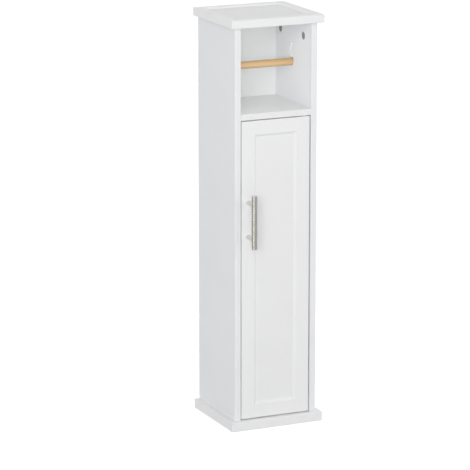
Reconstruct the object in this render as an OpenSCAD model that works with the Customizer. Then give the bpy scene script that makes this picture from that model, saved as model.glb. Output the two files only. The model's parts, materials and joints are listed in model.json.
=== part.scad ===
// Toilet roll storage cabinet: a slim white cabinet of flat-pack boards, with a tray top,
// an open compartment with a lift-out wooden roll bar, and a pivot-hung door over a store.
// Millimetres, +Z up. The front faces -Y. Origin: centre of the base panel's underside.

/* [Overall] */
// Width of the top and base panels
overall_w = 185; // [172:1:260]
// Depth of the top and base panels
overall_d = 175; // [168:1:260]
// Height from the floor to the tray's rim
overall_h = 770; // [640:1:1000]

/* [Boards] */
// Thickness of the top panel
slab_t = 15; // [14:0.5:22]
// Thickness of the base panel
base_t = 18; // [15:0.5:25]
// Thickness of the sides, the shelf and the door
board_t = 12; // [11.5:0.5:16]
// How far the top and base stand out past each side panel
side_overhang = 10; // [4:1:16]
// How far the top and base stand out past the front of the body
front_overhang = 10; // [4:1:16]
// Radius of the eased board edges
edge_ease = 1; // [0.5:0.1:2]

/* [Tray] */
// Width of the rim round the tray
tray_rim = 15; // [14:1:26]
// Depth of the tray
tray_depth = 3.5; // [1.5:0.5:4.5]
// How far the tray's walls lean in between the rim and the floor
tray_lean = 3; // [1:0.5:6]
// Radius of the tray's inner corners
tray_corner_r = 3; // [1:0.5:10]

/* [Roll compartment] */
// Clear height between the shelf and the top panel
compartment_h = 159; // [150:0.5:200]
// Diameter of the wooden roll bar
bar_d = 14; // [10:0.5:18]
// Height of the bar's axis over the shelf
bar_height = 74; // [60:1:90]
// Distance of the bar's axis behind the body's front
bar_setback = 84; // [60:1:90]
// How far the bar lifts in its slots
bar_lift = 30; // [15:1:36]
// Depth of the slots in the side panels
slot_depth = 3; // [2:0.5:5]
// Room round the bar in its slots
slot_clearance = 0.6; // [0.3:0.1:1.5]
// Gap under the resting bar, and between each bar end and its slot's floor
bar_rest_gap = 0.3; // [0.2:0.1:0.5]
// Spare room in the right slot's top pocket when the bar slips sideways and out
release_clearance = 0.3; // [0.2:0.1:1]

/* [Back panel] */
// Thickness of the back panel
back_t = 3; // [2.5:0.5:6]
// Distance of the back panel's outer face from the cabinet's back
back_inset = 10; // [6:1:12]
// Depth of the grooves that hold the back panel
groove_depth = 4; // [2:0.5:5]
// Clearance between the back panel and its grooves
groove_clearance = 0.15; // [0.1:0.05:0.3]

/* [Door] */
// Gap beside the door at the handle side
door_gap_handle = 1.5; // [1:0.5:3]
// Gap beside the door at the hinge side
door_gap_hinge = 2.5; // [2:0.5:4]
// Gap over the door
door_gap_top = 1.5; // [1.5:0.5:4]
// Gap under the door
door_gap_bottom = 1.5; // [1.5:0.5:6]
// Width of the door's flat frame round the sunk field
frame_w = 26; // [22:1:32]
// Depth of the sunk field
field_depth = 4; // [1:0.5:5]
// Width of the bevel between the frame and the field
bevel_w = 4.5; // [2:0.5:8]

/* [Hinge] */
// Distance of the pivot from the door's hinge edge
pivot_inset = 9; // [7:0.5:11]
// Diameter of the hinge pins
pin_d = 5; // [4:0.5:6]
// Length of each pin inside the door
pin_in_door = 20; // [12:1:30]
// Length of each pin inside its bush
pin_in_bush = 6; // [4:0.5:8]
// Running clearance between a pin and its bush, on the radius
pin_clearance = 0.05; // [0.02:0.01:0.09]
// Outer diameter of the hinge bushes
bush_d = 8; // [7.5:0.5:10]
// Floor left in a bush under its bore
bush_floor = 1.5; // [1:0.5:2]
// Diameter of the collars on the pins
collar_d = 9; // [8:0.5:12]
// Running gap between a collar and its bush
collar_gap = 0.3; // [0.2:0.1:0.5]

/* [Handle] */
// Length of the handle bar
handle_len = 100; // [84:1:160]
// Diameter of the handle bar
handle_d = 10; // [8:0.5:14]
// Distance between the two handle posts
post_pitch = 64; // [40:1:70]
// Diameter of the handle posts
post_d = 8; // [6.5:0.5:8]
// Distance of the handle bar's axis from the door's face
handle_reach = 28; // [22:1:40]
// Height of the door's upper edge over the handle's middle
handle_height = 183; // [170:0.5:300]
// Distance of the handle's axis from the door's free edge
handle_inset = 13; // [10:0.5:16]

/* [Catch] */
// Height of the door's upper edge over the catch's middle
catch_height = 83.5; // [40:0.5:100]
// Length of the catch's base plate
catch_len = 46; // [42:1:60]
// Depth of the catch from front to back
catch_depth = 14; // [12:1:20]
// Thickness of the catch's base plate
catch_base_t = 4; // [3:0.5:6]
// Length of the magnet
magnet_len = 26; // [16:1:26]
// Thickness of the magnet
magnet_t = 5; // [3:0.5:7]
// Depth of the magnet from front to back
magnet_depth = 9; // [6:0.5:9]
// Thickness of the catch's wall round the magnet
magnet_wall = 2; // [1.5:0.5:3]
// Thickness of each pole plate
pole_t = 1; // [0.8:0.2:1.4]
// How far the pole plates stand out of the housing
pole_stand_out = 0.5; // [0.3:0.1:1]
// Air gap between the pole plates and the strike plate
catch_gap = 0.3; // [0.2:0.1:0.6]
// Width of the strike plate
strike_w = 12; // [10:1:14]
// Length of the strike plate
strike_len = 36; // [30:1:50]
// Thickness of the strike plate
strike_t = 1.6; // [1.2:0.1:2.4]

/* [Cam joints] */
// Diameter of the cam locks
cam_d = 15; // [12:0.5:16]
// Height of a cam lock
cam_h = 9.3; // [8.5:0.1:10]
// How far a cam's face lies under the board's surface
cam_sink = 0.8; // [0.2:0.1:1]
// Distance of a cam's centre from the board's end
cam_setback = 29.5; // [24:0.5:34]
// Distance of the front cams from the body's front
cam_from_front = 35; // [28:1:45]
// Distance of the back cams from the cabinet's back
cam_from_back = 32; // [25:1:40]
// Thread diameter of the cam bolts
bolt_thread_d = 6; // [5:0.5:7]
// Length of the bolt's thread in the other board
bolt_in_face = 8; // [6:0.5:8]
// Shank diameter of the cam bolts
bolt_shank_d = 5; // [4:0.5:6]
// Diameter of the bolt's head inside the cam
bolt_head_d = 6.4; // [5.5:0.1:7]
// Diameter of the dowels
dowel_d = 6; // [5:0.5:6]
// Length of a dowel in the face of a board
dowel_in_face = 8; // [6:0.5:8]
// Length of a dowel in the end of a board
dowel_in_end = 16; // [10:1:20]
// Distance of each dowel from its cam
dowel_step = 30; // [20:1:34]

/* [Screws] */
// Thread diameter of the handle screws
handle_screw_d = 4; // [3:0.5:5]
// Length of the handle screws inside the posts
handle_screw_grip = 10; // [6:1:14]
// Thread diameter of the catch and strike screws
small_screw_d = 3; // [2.5:0.5:3.5]
// Depth of the catch and strike screws in the wood
small_screw_grip = 8; // [6:0.5:8]

/* [Hidden] */
$fn = 64;
// Shapes cut by this much more than they need, so that no skin is left
cut = 0.1;
// Play between a fastener and the hole that holds it, on the radius
hole_play = 0.1;
// Extra depth of a blind hole past the end of what it holds
hole_spare = 0.5;
ease_steps = 3;
tray_corner_steps = 8;

// Outline
back_y = overall_d / 2;
slab_front_y = -overall_d / 2;
body_front_y = slab_front_y + front_overhang;
body_d = back_y - body_front_y;
side_out_x = overall_w / 2 - side_overhang;
side_in_x = side_out_x - board_t;
side_mid_x = side_out_x - board_t / 2;
top_under_z = overall_h - slab_t;
shelf_top_z = top_under_z - compartment_h;
shelf_mid_z = shelf_top_z - board_t / 2;
shelf_under_z = shelf_top_z - board_t;
side_h = top_under_z - base_t;

// Back panel
back_panel_back_y = back_y - back_inset;
back_panel_front_y = back_panel_back_y - back_t;
groove_w = back_t + 2 * groove_clearance;
back_panel_reach = groove_depth - groove_clearance;
groove_half_w = side_in_x + groove_depth;

// Roll bar and its slots
bar_y = body_front_y + bar_setback;
bar_z = shelf_top_z + bar_height;
slot_r = bar_d / 2 + slot_clearance;
slot_low_z = bar_z - bar_d / 2 - bar_rest_gap + slot_r;
slot_high_z = bar_z + bar_lift + bar_rest_gap - slot_clearance;
bar_len = 2 * (side_in_x + slot_depth - bar_rest_gap);
bar_ease = 0.8;
release_depth = 2 * slot_depth - bar_rest_gap + release_clearance;

// Door
door_free_x = -side_in_x + door_gap_handle;
door_hinge_x = side_in_x - door_gap_hinge;
door_w = door_hinge_x - door_free_x;
door_low_z = base_t + door_gap_bottom;
door_high_z = shelf_under_z - door_gap_top;
door_h = door_high_z - door_low_z;
door_back_y = body_front_y + board_t;
door_mid_y = body_front_y + board_t / 2;
pivot_x = door_hinge_x - pivot_inset;

// Hinge
bush_bore_r = pin_d / 2 + pin_clearance;
bush_bore_l = pin_in_bush + hole_spare;
bush_l = bush_bore_l + bush_floor;

// Handle
handle_x = door_free_x + handle_inset;
handle_z = door_high_z - handle_height;
handle_axis_y = body_front_y - handle_reach;
handle_ease = 0.6;
post_stud_d = 4;
post_stud_l = 4;
screw_head_d = 8.5;
screw_head_h = 2.4;
screw_drive_d = 3.5;
screw_drive_depth = 1.4;

// Catch
catch_z = door_high_z - catch_height;
strike_front_y = door_back_y;
strike_back_y = door_back_y + strike_t;
pole_front_y = strike_back_y + catch_gap;
catch_front_y = pole_front_y + pole_stand_out;
magnet_pocket_len = magnet_len + 2 * hole_play;
magnet_pocket_w = magnet_t + 2 * pole_t + 2 * hole_play;
magnet_pocket_x = -side_in_x + catch_base_t;
magnet_pocket_depth = magnet_depth + hole_play;
catch_block_len = magnet_pocket_len + 2 * magnet_wall;
catch_block_h = catch_base_t + magnet_pocket_w + magnet_wall;
catch_screw_pitch = (catch_len + catch_block_len) / 2;
magnet_mid_x = magnet_pocket_x + magnet_pocket_w / 2;
catch_head_d = 5.4;
catch_head_h = 1.8;
catch_drive_d = 2.4;
catch_drive_depth = 1.1;

// Cam joints
cam_ys = [body_front_y + cam_from_front, back_y - cam_from_back];
dowel_ys = [cam_ys[0] + dowel_step, cam_ys[1] - dowel_step];
cam_recess_d = 6.5;
cam_recess_depth = 1.2;
cam_cross_l = 8.6;
cam_cross_w = 1.5;
bolt_collar_d = 6.8;
bolt_collar_h = 1.2;
bolt_neck_d = 3.6;
bolt_neck_l = 2.6;
bolt_head_h = 2.8;
bolt_hole_d = bolt_collar_d + 2 * hole_play;
dowel_ease = 0.8;

WHITE = "white";
STEEL = [0.72, 0.70, 0.66];
DARK_ZINC = [0.42, 0.42, 0.43];
PALE_WOOD = [0.87, 0.71, 0.50];
DOWEL_WOOD = [0.80, 0.66, 0.46];
FERRITE = [0.20, 0.20, 0.21];

// ---------------------------------------------------------------- helpers

// Points of a rectangle from [0, 0] to [w, h] with its corners rounded to radius r
function eased_points(w, h, r, steps) = [
    for (corner = [0:3], k = [0:steps])
        let (
            a = 90 * (corner + k / steps),
            cx = (corner == 0 || corner == 3) ? w - r : r,
            cy = (corner < 2) ? h - r : r
        )
        [cx + r * cos(a), cy + r * sin(a)]
];

// Block with its corner at the origin and the edges along X eased
module board_eased_x(size) {
    rotate([90, 0, 90])
        linear_extrude(size.x)
            polygon(eased_points(size.y, size.z, edge_ease, ease_steps));
}

// Block with its corner at the origin and the edges along Y eased
module board_eased_y(size) {
    translate([0, size.y, 0])
        rotate([90, 0, 0])
            linear_extrude(size.y)
                polygon(eased_points(size.x, size.z, edge_ease, ease_steps));
}

// Block with its corner at the origin and the edges along Z eased
module board_eased_z(size) {
    linear_extrude(size.z)
        polygon(eased_points(size.x, size.y, edge_ease, ease_steps));
}

// Block with every edge eased
module board_eased(size) {
    intersection() {
        board_eased_x(size);
        board_eased_y(size);
        board_eased_z(size);
    }
}

// Cutter for a sunk field with leaning sides: its mouth is w by h, centred in the plane z = 0
module sunk_cutter(w, h, depth, lean) {
    // The sides' slope carried on past the face by the cut
    spread = cut * lean / depth;
    function side_to_side(l) = [
        [-l / 2 - spread, cut],
        [-l / 2 + lean, -depth],
        [l / 2 - lean, -depth],
        [l / 2 + spread, cut]
    ];
    intersection() {
        translate([0, h / 2 + spread, 0])
            rotate([90, 0, 0])
                linear_extrude(h + 2 * spread)
                    polygon(side_to_side(w));
        translate([-w / 2 - spread, 0, 0])
            rotate([90, 0, 90])
                linear_extrude(w + 2 * spread)
                    polygon(side_to_side(h));
    }
}

// The child and its mirror image across the cabinet's middle
module both_sides() {
    children();
    mirror([1, 0, 0]) children();
}

// Round pin along Z from z = 0, with both ends chamfered
module eased_pin(d, l, ease) {
    r = d / 2;
    rotate_extrude()
        polygon([[0, 0], [r - ease, 0], [r, ease], [r, l - ease], [r - ease, l], [0, l]]);
}

// ---------------------------------------------------------------- cam joints
// Joint frame: the contact face is z = 0, +Z runs into the board that holds the cam, and the cam's
// face looks along +X from the middle of that board.

// Places its child at each cam or dowel of a joint
module along_depth(ys) {
    for (y = ys)
        translate([0, y, 0]) children();
}

// Joint frames of the top panel: both side panels
module at_top_joints() {
    both_sides()
        translate([-side_mid_x, 0, top_under_z])
            mirror([0, 0, 1]) children();
}

// Joint frames of the base panel: both side panels
module at_base_joints() {
    both_sides()
        translate([-side_mid_x, 0, base_t]) children();
}

// Joint frames of the shelf: both its ends
module at_shelf_joints() {
    both_sides()
        translate([-side_in_x, 0, shelf_mid_z])
            rotate([0, 90, 0]) children();
}

// Pocket, bolt hole and dowel holes in the board that holds the cams
module end_joint_cuts() {
    pocket_depth = cam_sink + cam_h + hole_spare;
    along_depth(cam_ys) {
        translate([board_t / 2 - pocket_depth, 0, cam_setback])
            rotate([0, 90, 0])
                cylinder(d = cam_d + 2 * hole_play, h = pocket_depth + cut);
        translate([0, 0, -cut])
            cylinder(d = bolt_hole_d, h = cam_setback + cut);
    }
    along_depth(dowel_ys)
        translate([0, 0, -cut])
            cylinder(d = dowel_d + 2 * hole_play, h = dowel_in_end + hole_spare + cut);
}

// Bolt and dowel holes in the face of the other board
module face_joint_cuts() {
    along_depth(cam_ys)
        translate([0, 0, -bolt_in_face - hole_spare])
            cylinder(d = bolt_thread_d + 2 * hole_play, h = bolt_in_face + hole_spare + cut);
    along_depth(dowel_ys)
        translate([0, 0, -dowel_in_face - hole_spare])
            cylinder(d = dowel_d + 2 * hole_play, h = dowel_in_face + hole_spare + cut);
}

// Cam lock: a disc with a cross drive in its face and a throat for the bolt's head
module cam_lock() {
    throat_d = bolt_head_d + 1.2;
    face_x = board_t / 2 - cam_sink;
    translate([0, 0, cam_setback])
        difference() {
            translate([face_x - cam_h, 0, 0])
                rotate([0, 90, 0])
                    cylinder(d = cam_d, h = cam_h);
            translate([face_x - cam_recess_depth, 0, 0])
                rotate([0, 90, 0])
                    cylinder(d = cam_recess_d, h = cam_recess_depth + cut);
            for (turn = [45, 135])
                rotate([turn, 0, 0])
                    translate([face_x - cam_recess_depth, -cam_cross_w / 2, -cam_cross_l / 2])
                        cube([cam_recess_depth + cut, cam_cross_w, cam_cross_l]);
            translate([0, 0, -cam_d])
                cylinder(d = throat_d, h = cam_d + bolt_head_h);
        }
}

// Cam bolt: thread, collar, shank, neck and head, turned in one piece
module cam_bolt() {
    head_low = cam_setback - bolt_head_h / 2;
    neck_low = head_low - bolt_neck_l;
    ease = 0.5;
    rotate_extrude()
        polygon([
            [0, -bolt_in_face],
            [bolt_thread_d / 2 - ease, -bolt_in_face],
            [bolt_thread_d / 2, -bolt_in_face + ease],
            [bolt_thread_d / 2, 0],
            [bolt_collar_d / 2, 0],
            [bolt_collar_d / 2, bolt_collar_h],
            [bolt_shank_d / 2, bolt_collar_h],
            [bolt_shank_d / 2, neck_low],
            [bolt_neck_d / 2, neck_low],
            [bolt_neck_d / 2, head_low],
            [bolt_head_d / 2, head_low + ease],
            [bolt_head_d / 2, head_low + bolt_head_h - ease],
            [bolt_head_d / 2 - ease, head_low + bolt_head_h],
            [0, head_low + bolt_head_h]
        ]);
}

// The two cam locks of one joint
module joint_cams() {
    along_depth(cam_ys) cam_lock();
}

// The two cam bolts of one joint
module joint_bolts() {
    along_depth(cam_ys) cam_bolt();
}

// The two dowels of one joint
module joint_dowels() {
    along_depth(dowel_ys)
        translate([0, 0, -dowel_in_face])
            eased_pin(dowel_d, dowel_in_face + dowel_in_end, dowel_ease);
}

// ---------------------------------------------------------------- boards

// Groove for the back panel in a horizontal board, cut up from z = 0
module back_groove_across() {
    translate([-groove_half_w, back_panel_front_y - groove_clearance, -cut])
        cube([2 * groove_half_w, groove_w, groove_depth + cut]);
}

// Top panel with its tray, back-panel groove and joint holes
module top_panel() {
    tray_w = overall_w - 2 * tray_rim;
    tray_d = overall_d - 2 * tray_rim;
    color(WHITE)
        difference() {
            translate([-overall_w / 2, slab_front_y, top_under_z])
                board_eased([overall_w, overall_d, slab_t]);
            translate([0, 0, overall_h])
                intersection() {
                    sunk_cutter(tray_w, tray_d, tray_depth, tray_lean);
                    translate([-tray_w / 2, -tray_d / 2, -tray_depth])
                        linear_extrude(tray_depth + cut)
                            polygon(eased_points(tray_w, tray_d, tray_corner_r, tray_corner_steps));
                }
            translate([0, 0, top_under_z]) back_groove_across();
            at_top_joints() face_joint_cuts();
        }
}

// Base panel with its groove, joint holes and the seat of the lower hinge bush
module base_panel() {
    color(WHITE)
        difference() {
            translate([-overall_w / 2, slab_front_y, 0])
                board_eased([overall_w, overall_d, base_t]);
            translate([0, 0, base_t])
                mirror([0, 0, 1]) back_groove_across();
            at_base_joints() face_joint_cuts();
            translate([pivot_x, door_mid_y, base_t - bush_l])
                cylinder(d = bush_d, h = bush_l + cut);
        }
}

// Left side panel before its own cuts, which the right one mirrors
module side_blank() {
    difference() {
        translate([-side_out_x, body_front_y, base_t])
            board_eased_z([board_t, body_d, side_h]);
        translate([-groove_half_w, back_panel_front_y - groove_clearance, base_t - cut])
            cube([groove_depth + cut, groove_w, side_h + 2 * cut]);
        bar_slot();
        translate([-side_mid_x, 0, top_under_z])
            mirror([0, 0, 1]) end_joint_cuts();
        translate([-side_mid_x, 0, base_t]) end_joint_cuts();
        translate([-side_in_x, 0, shelf_mid_z])
            rotate([0, 90, 0]) face_joint_cuts();
    }
}

// Upright round-ended slot for the bar in the left side panel's inner face
module bar_slot() {
    for (z = [slot_low_z, slot_high_z])
        translate([-side_in_x - slot_depth, bar_y, z])
            rotate([0, 90, 0])
                cylinder(r = slot_r, h = slot_depth + cut);
    translate([-side_in_x - slot_depth, bar_y - slot_r, slot_low_z])
        cube([slot_depth + cut, 2 * slot_r, slot_high_z - slot_low_z]);
}

// Left side panel, with the screw holes of the catch
module left_side_panel() {
    color(WHITE)
        difference() {
            side_blank();
            at_catch_screws()
                translate([0, 0, -small_screw_grip - hole_spare])
                    cylinder(d = small_screw_d + 2 * hole_play, h = small_screw_grip + hole_spare + cut);
        }
}

// Right side panel, with the deeper pocket that lets the bar slip sideways and out
module right_side_panel() {
    color(WHITE)
        difference() {
            mirror([1, 0, 0]) side_blank();
            translate([side_in_x - cut, bar_y, slot_high_z])
                rotate([0, 90, 0])
                    cylinder(r = slot_r, h = release_depth + cut);
        }
}

// Back panel, held in the grooves all round
module back_panel() {
    half_w = side_in_x + back_panel_reach;
    low_z = base_t - back_panel_reach;
    color(WHITE)
        translate([-half_w, back_panel_front_y, low_z])
            cube([2 * half_w, back_t, side_h + 2 * back_panel_reach]);
}

// Shelf between the side panels, with its cams underneath and the seat of the upper hinge bush
module middle_shelf() {
    shelf_d = back_panel_front_y - groove_clearance - body_front_y;
    color(WHITE)
        difference() {
            translate([-side_in_x, body_front_y, shelf_under_z])
                board_eased_x([2 * side_in_x, shelf_d, board_t]);
            at_shelf_joints() end_joint_cuts();
            translate([pivot_x, door_mid_y, shelf_under_z - cut])
                cylinder(d = bush_d, h = bush_l + cut);
        }
}

// ---------------------------------------------------------------- door

// Door with its sunk field and the holes for pins, handle and strike plate
module door_panel() {
    color(WHITE)
        difference() {
            translate([door_free_x, body_front_y, door_low_z]) {
                difference() {
                    board_eased([door_w, board_t, door_h]);
                    translate([door_w / 2, 0, door_h / 2])
                        rotate([90, 0, 0])
                            sunk_cutter(door_w - 2 * frame_w, door_h - 2 * frame_w, field_depth, bevel_w);
                }
            }
            for (z = [door_low_z - cut, door_high_z - pin_in_door - hole_spare])
                translate([pivot_x, door_mid_y, z])
                    cylinder(d = pin_d, h = pin_in_door + hole_spare + cut);
            at_handle_posts()
                rotate([-90, 0, 0])
                    translate([0, 0, -cut])
                        cylinder(d = handle_screw_d + 2 * hole_play, h = board_t + 2 * cut);
            translate([magnet_mid_x, door_back_y - small_screw_grip - hole_spare, catch_z])
                rotate([-90, 0, 0])
                    cylinder(d = small_screw_d + 2 * hole_play, h = small_screw_grip + hole_spare + cut);
        }
}

// ---------------------------------------------------------------- hinge

// Hinge pin: z = 0 is the door's edge, the collar and the bush end lie above it
module hinge_pin(gap) {
    r = pin_d / 2;
    collar_h = gap - collar_gap;
    tip = gap + pin_in_bush;
    ease = 0.5;
    rotate_extrude()
        polygon([
            [0, -pin_in_door],
            [r - ease, -pin_in_door],
            [r, -pin_in_door + ease],
            [r, 0],
            [collar_d / 2, 0],
            [collar_d / 2, collar_h],
            [r, collar_h],
            [r, tip - ease],
            [r - ease, tip],
            [0, tip]
        ]);
}

// Hinge bush: its mouth is at z = 0 and its body lies above it
module hinge_bush() {
    rotate_extrude()
        polygon([
            [bush_bore_r, 0],
            [bush_d / 2, 0],
            [bush_d / 2, bush_l],
            [0, bush_l],
            [0, bush_bore_l],
            [bush_bore_r, bush_bore_l]
        ]);
}

// Pin in the door's upper edge
module upper_hinge_pin() {
    color(STEEL)
        translate([pivot_x, door_mid_y, door_high_z])
            hinge_pin(door_gap_top);
}

// Pin in the door's lower edge
module lower_hinge_pin() {
    color(STEEL)
        translate([pivot_x, door_mid_y, door_low_z])
            mirror([0, 0, 1]) hinge_pin(door_gap_bottom);
}

// Bush in the shelf's underside
module upper_hinge_bush() {
    color(WHITE)
        translate([pivot_x, door_mid_y, shelf_under_z])
            hinge_bush();
}

// Bush in the base panel's upper face
module lower_hinge_bush() {
    color(WHITE)
        translate([pivot_x, door_mid_y, base_t])
            mirror([0, 0, 1]) hinge_bush();
}

// ---------------------------------------------------------------- handle

// Places its child on the door's face at each handle post
module at_handle_posts() {
    for (side = [-1, 1])
        translate([handle_x, body_front_y, handle_z + side * post_pitch / 2]) children();
}

// Places its child on the handle bar's axis at each post
module at_handle_studs() {
    for (side = [-1, 1])
        translate([handle_x, handle_axis_y, handle_z + side * post_pitch / 2]) children();
}

// Upright bar with a blind hole for each post's stud
module handle_bar() {
    color(STEEL)
        difference() {
            translate([handle_x, handle_axis_y, handle_z - handle_len / 2])
                eased_pin(handle_d, handle_len, handle_ease);
            at_handle_studs()
                rotate([-90, 0, 0])
                    cylinder(d = post_stud_d + 2 * hole_play, h = handle_d);
        }
}

// Two posts, saddled to the bar, each with a stud in the bar and a threaded hole for its screw
module handle_posts() {
    stud_root = sqrt(pow(handle_d / 2, 2) - pow(post_stud_d / 2, 2));
    color(STEEL)
        difference() {
            union() {
                difference() {
                    at_handle_studs()
                        rotate([-90, 0, 0])
                            cylinder(d = post_d, h = handle_reach);
                    translate([handle_x, handle_axis_y, handle_z - handle_len / 2])
                        cylinder(d = handle_d, h = handle_len);
                }
                at_handle_studs()
                    translate([0, stud_root - post_stud_l, 0])
                        rotate([-90, 0, 0])
                            cylinder(d = post_stud_d, h = post_stud_l + handle_d / 2);
            }
            at_handle_posts()
                rotate([90, 0, 0])
                    translate([0, 0, -cut])
                        cylinder(
                            d = handle_screw_d + 2 * hole_play,
                            h = handle_screw_grip + hole_spare + cut
                        );
        }
}

// Pan-head screws through the door into the posts
module handle_screws() {
    color(STEEL)
        at_handle_posts()
            rotate([90, 0, 0])
                translate([0, 0, -board_t])
                    difference() {
                        union() {
                            translate([0, 0, -screw_head_h])
                                eased_pin(screw_head_d, screw_head_h, handle_ease);
                            cylinder(d = handle_screw_d, h = board_t + handle_screw_grip);
                        }
                        translate([0, 0, -screw_head_h - cut])
                            cylinder(d = screw_drive_d, h = screw_drive_depth + cut, $fn = 6);
                    }
}

// ---------------------------------------------------------------- catch

// Places its child on the left side panel's face at each catch screw, with +Z into the room
module at_catch_screws() {
    for (side = [-1, 1])
        translate([-side_in_x, catch_front_y + catch_depth / 2, catch_z + side * catch_screw_pitch / 2])
            rotate([0, 90, 0]) children();
}

// Catch housing: a base plate with two screw ears and a block with the magnet's pocket
module catch_housing() {
    color(WHITE)
        difference() {
            union() {
                translate([-side_in_x, catch_front_y, catch_z - catch_len / 2])
                    cube([catch_base_t, catch_depth, catch_len]);
                translate([-side_in_x, catch_front_y, catch_z - catch_block_len / 2])
                    cube([catch_block_h, catch_depth, catch_block_len]);
            }
            translate([magnet_pocket_x, catch_front_y - cut, catch_z - magnet_pocket_len / 2])
                cube([magnet_pocket_w, magnet_pocket_depth + cut, magnet_pocket_len]);
            at_catch_screws()
                translate([0, 0, -cut])
                    cylinder(d = small_screw_d + 2 * hole_play, h = catch_base_t + 2 * cut);
        }
}

// Ferrite magnet between the two pole plates
module catch_magnet() {
    color(FERRITE)
        translate([magnet_mid_x - magnet_t / 2, catch_front_y, catch_z - magnet_len / 2])
            cube([magnet_t, magnet_depth, magnet_len]);
}

// Steel plates on both sides of the magnet, proud of the housing
module catch_pole_plates() {
    color(STEEL)
        for (x = [magnet_mid_x - magnet_t / 2 - pole_t, magnet_mid_x + magnet_t / 2])
            translate([x, pole_front_y, catch_z - magnet_len / 2])
                cube([pole_t, pole_stand_out + magnet_depth, magnet_len]);
}

// Small pan-head screw from z = 0 down, with its head above
module small_screw(grip) {
    difference() {
        union() {
            eased_pin(catch_head_d, catch_head_h, handle_ease);
            translate([0, 0, -grip])
                cylinder(d = small_screw_d, h = grip);
        }
        translate([0, 0, catch_head_h - catch_drive_depth])
            cylinder(d = catch_drive_d, h = catch_drive_depth + cut, $fn = 6);
    }
}

// Two screws that hold the catch to the side panel
module catch_screws() {
    color(STEEL)
        at_catch_screws()
            translate([0, 0, catch_base_t])
                small_screw(catch_base_t + small_screw_grip);
}

// Steel strike plate on the door's back, dished for its screw
module strike_plate() {
    color(STEEL)
        difference() {
            translate([magnet_mid_x - strike_w / 2, strike_front_y, catch_z - strike_len / 2])
                cube([strike_w, strike_t, strike_len]);
            translate([magnet_mid_x, strike_front_y - cut, catch_z])
                rotate([-90, 0, 0])
                    cylinder(d = small_screw_d + 2 * hole_play, h = strike_t + 2 * cut);
            translate([magnet_mid_x, strike_front_y, catch_z])
                rotate([-90, 0, 0])
                    cylinder(
                        r1 = small_screw_d / 2 + hole_play,
                        r2 = small_screw_d / 2 + hole_play + strike_t,
                        h = strike_t
                    );
        }
}

// Countersunk screw that holds the strike plate
module strike_screw() {
    r = small_screw_d / 2;
    color(STEEL)
        translate([magnet_mid_x, strike_front_y, catch_z])
            rotate([-90, 0, 0])
                difference() {
                    rotate_extrude()
                        polygon([
                            [0, -small_screw_grip],
                            [r, -small_screw_grip],
                            [r, 0],
                            [r + strike_t, strike_t],
                            [0, strike_t]
                        ]);
                    translate([0, 0, strike_t - catch_drive_depth])
                        cylinder(d = catch_drive_d, h = catch_drive_depth + cut, $fn = 6);
                }
}

// ---------------------------------------------------------------- roll bar

// Wooden bar that lies in the slots of the side panels
module roll_bar() {
    color(PALE_WOOD)
        translate([-bar_len / 2, bar_y, bar_z])
            rotate([0, 90, 0])
                eased_pin(bar_d, bar_len, bar_ease);
}

// ---------------------------------------------------------------- joint hardware

module top_cam_locks() {
    color(DARK_ZINC) at_top_joints() joint_cams();
}

module top_cam_bolts() {
    color(STEEL) at_top_joints() joint_bolts();
}

module top_dowels() {
    color(DOWEL_WOOD) at_top_joints() joint_dowels();
}

module shelf_cam_locks() {
    color(DARK_ZINC) at_shelf_joints() joint_cams();
}

module shelf_cam_bolts() {
    color(STEEL) at_shelf_joints() joint_bolts();
}

module shelf_dowels() {
    color(DOWEL_WOOD) at_shelf_joints() joint_dowels();
}

module base_cam_locks() {
    color(DARK_ZINC) at_base_joints() joint_cams();
}

module base_cam_bolts() {
    color(STEEL) at_base_joints() joint_bolts();
}

module base_dowels() {
    color(DOWEL_WOOD) at_base_joints() joint_dowels();
}

// ---------------------------------------------------------------- assembly

top_panel();
base_panel();
left_side_panel();
right_side_panel();
back_panel();
middle_shelf();
door_panel();
handle_bar();
handle_posts();
handle_screws();
upper_hinge_pin();
lower_hinge_pin();
upper_hinge_bush();
lower_hinge_bush();
catch_housing();
catch_magnet();
catch_pole_plates();
catch_screws();
strike_plate();
strike_screw();
roll_bar();
top_cam_locks();
top_cam_bolts();
top_dowels();
shelf_cam_locks();
shelf_cam_bolts();
shelf_dowels();
base_cam_locks();
base_cam_bolts();
base_dowels();
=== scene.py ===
"""The looks of a slim white toilet roll cabinet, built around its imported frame.

Metres, +Z up. The cabinet stands on z = 0 with its front towards -Y and its door hung at the right.
Boards, turned pieces and fittings are skinned from rounded profiles, drilled where the frame is
drilled, and dressed in procedural finishes. Pieces that repeat are set out by Geometry Nodes.
"""

import json
import logging
import math
from dataclasses import dataclass, replace
from enum import Enum
from typing import Mapping, Sequence

import bmesh
import bpy
from mathutils import Matrix, Vector

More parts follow.
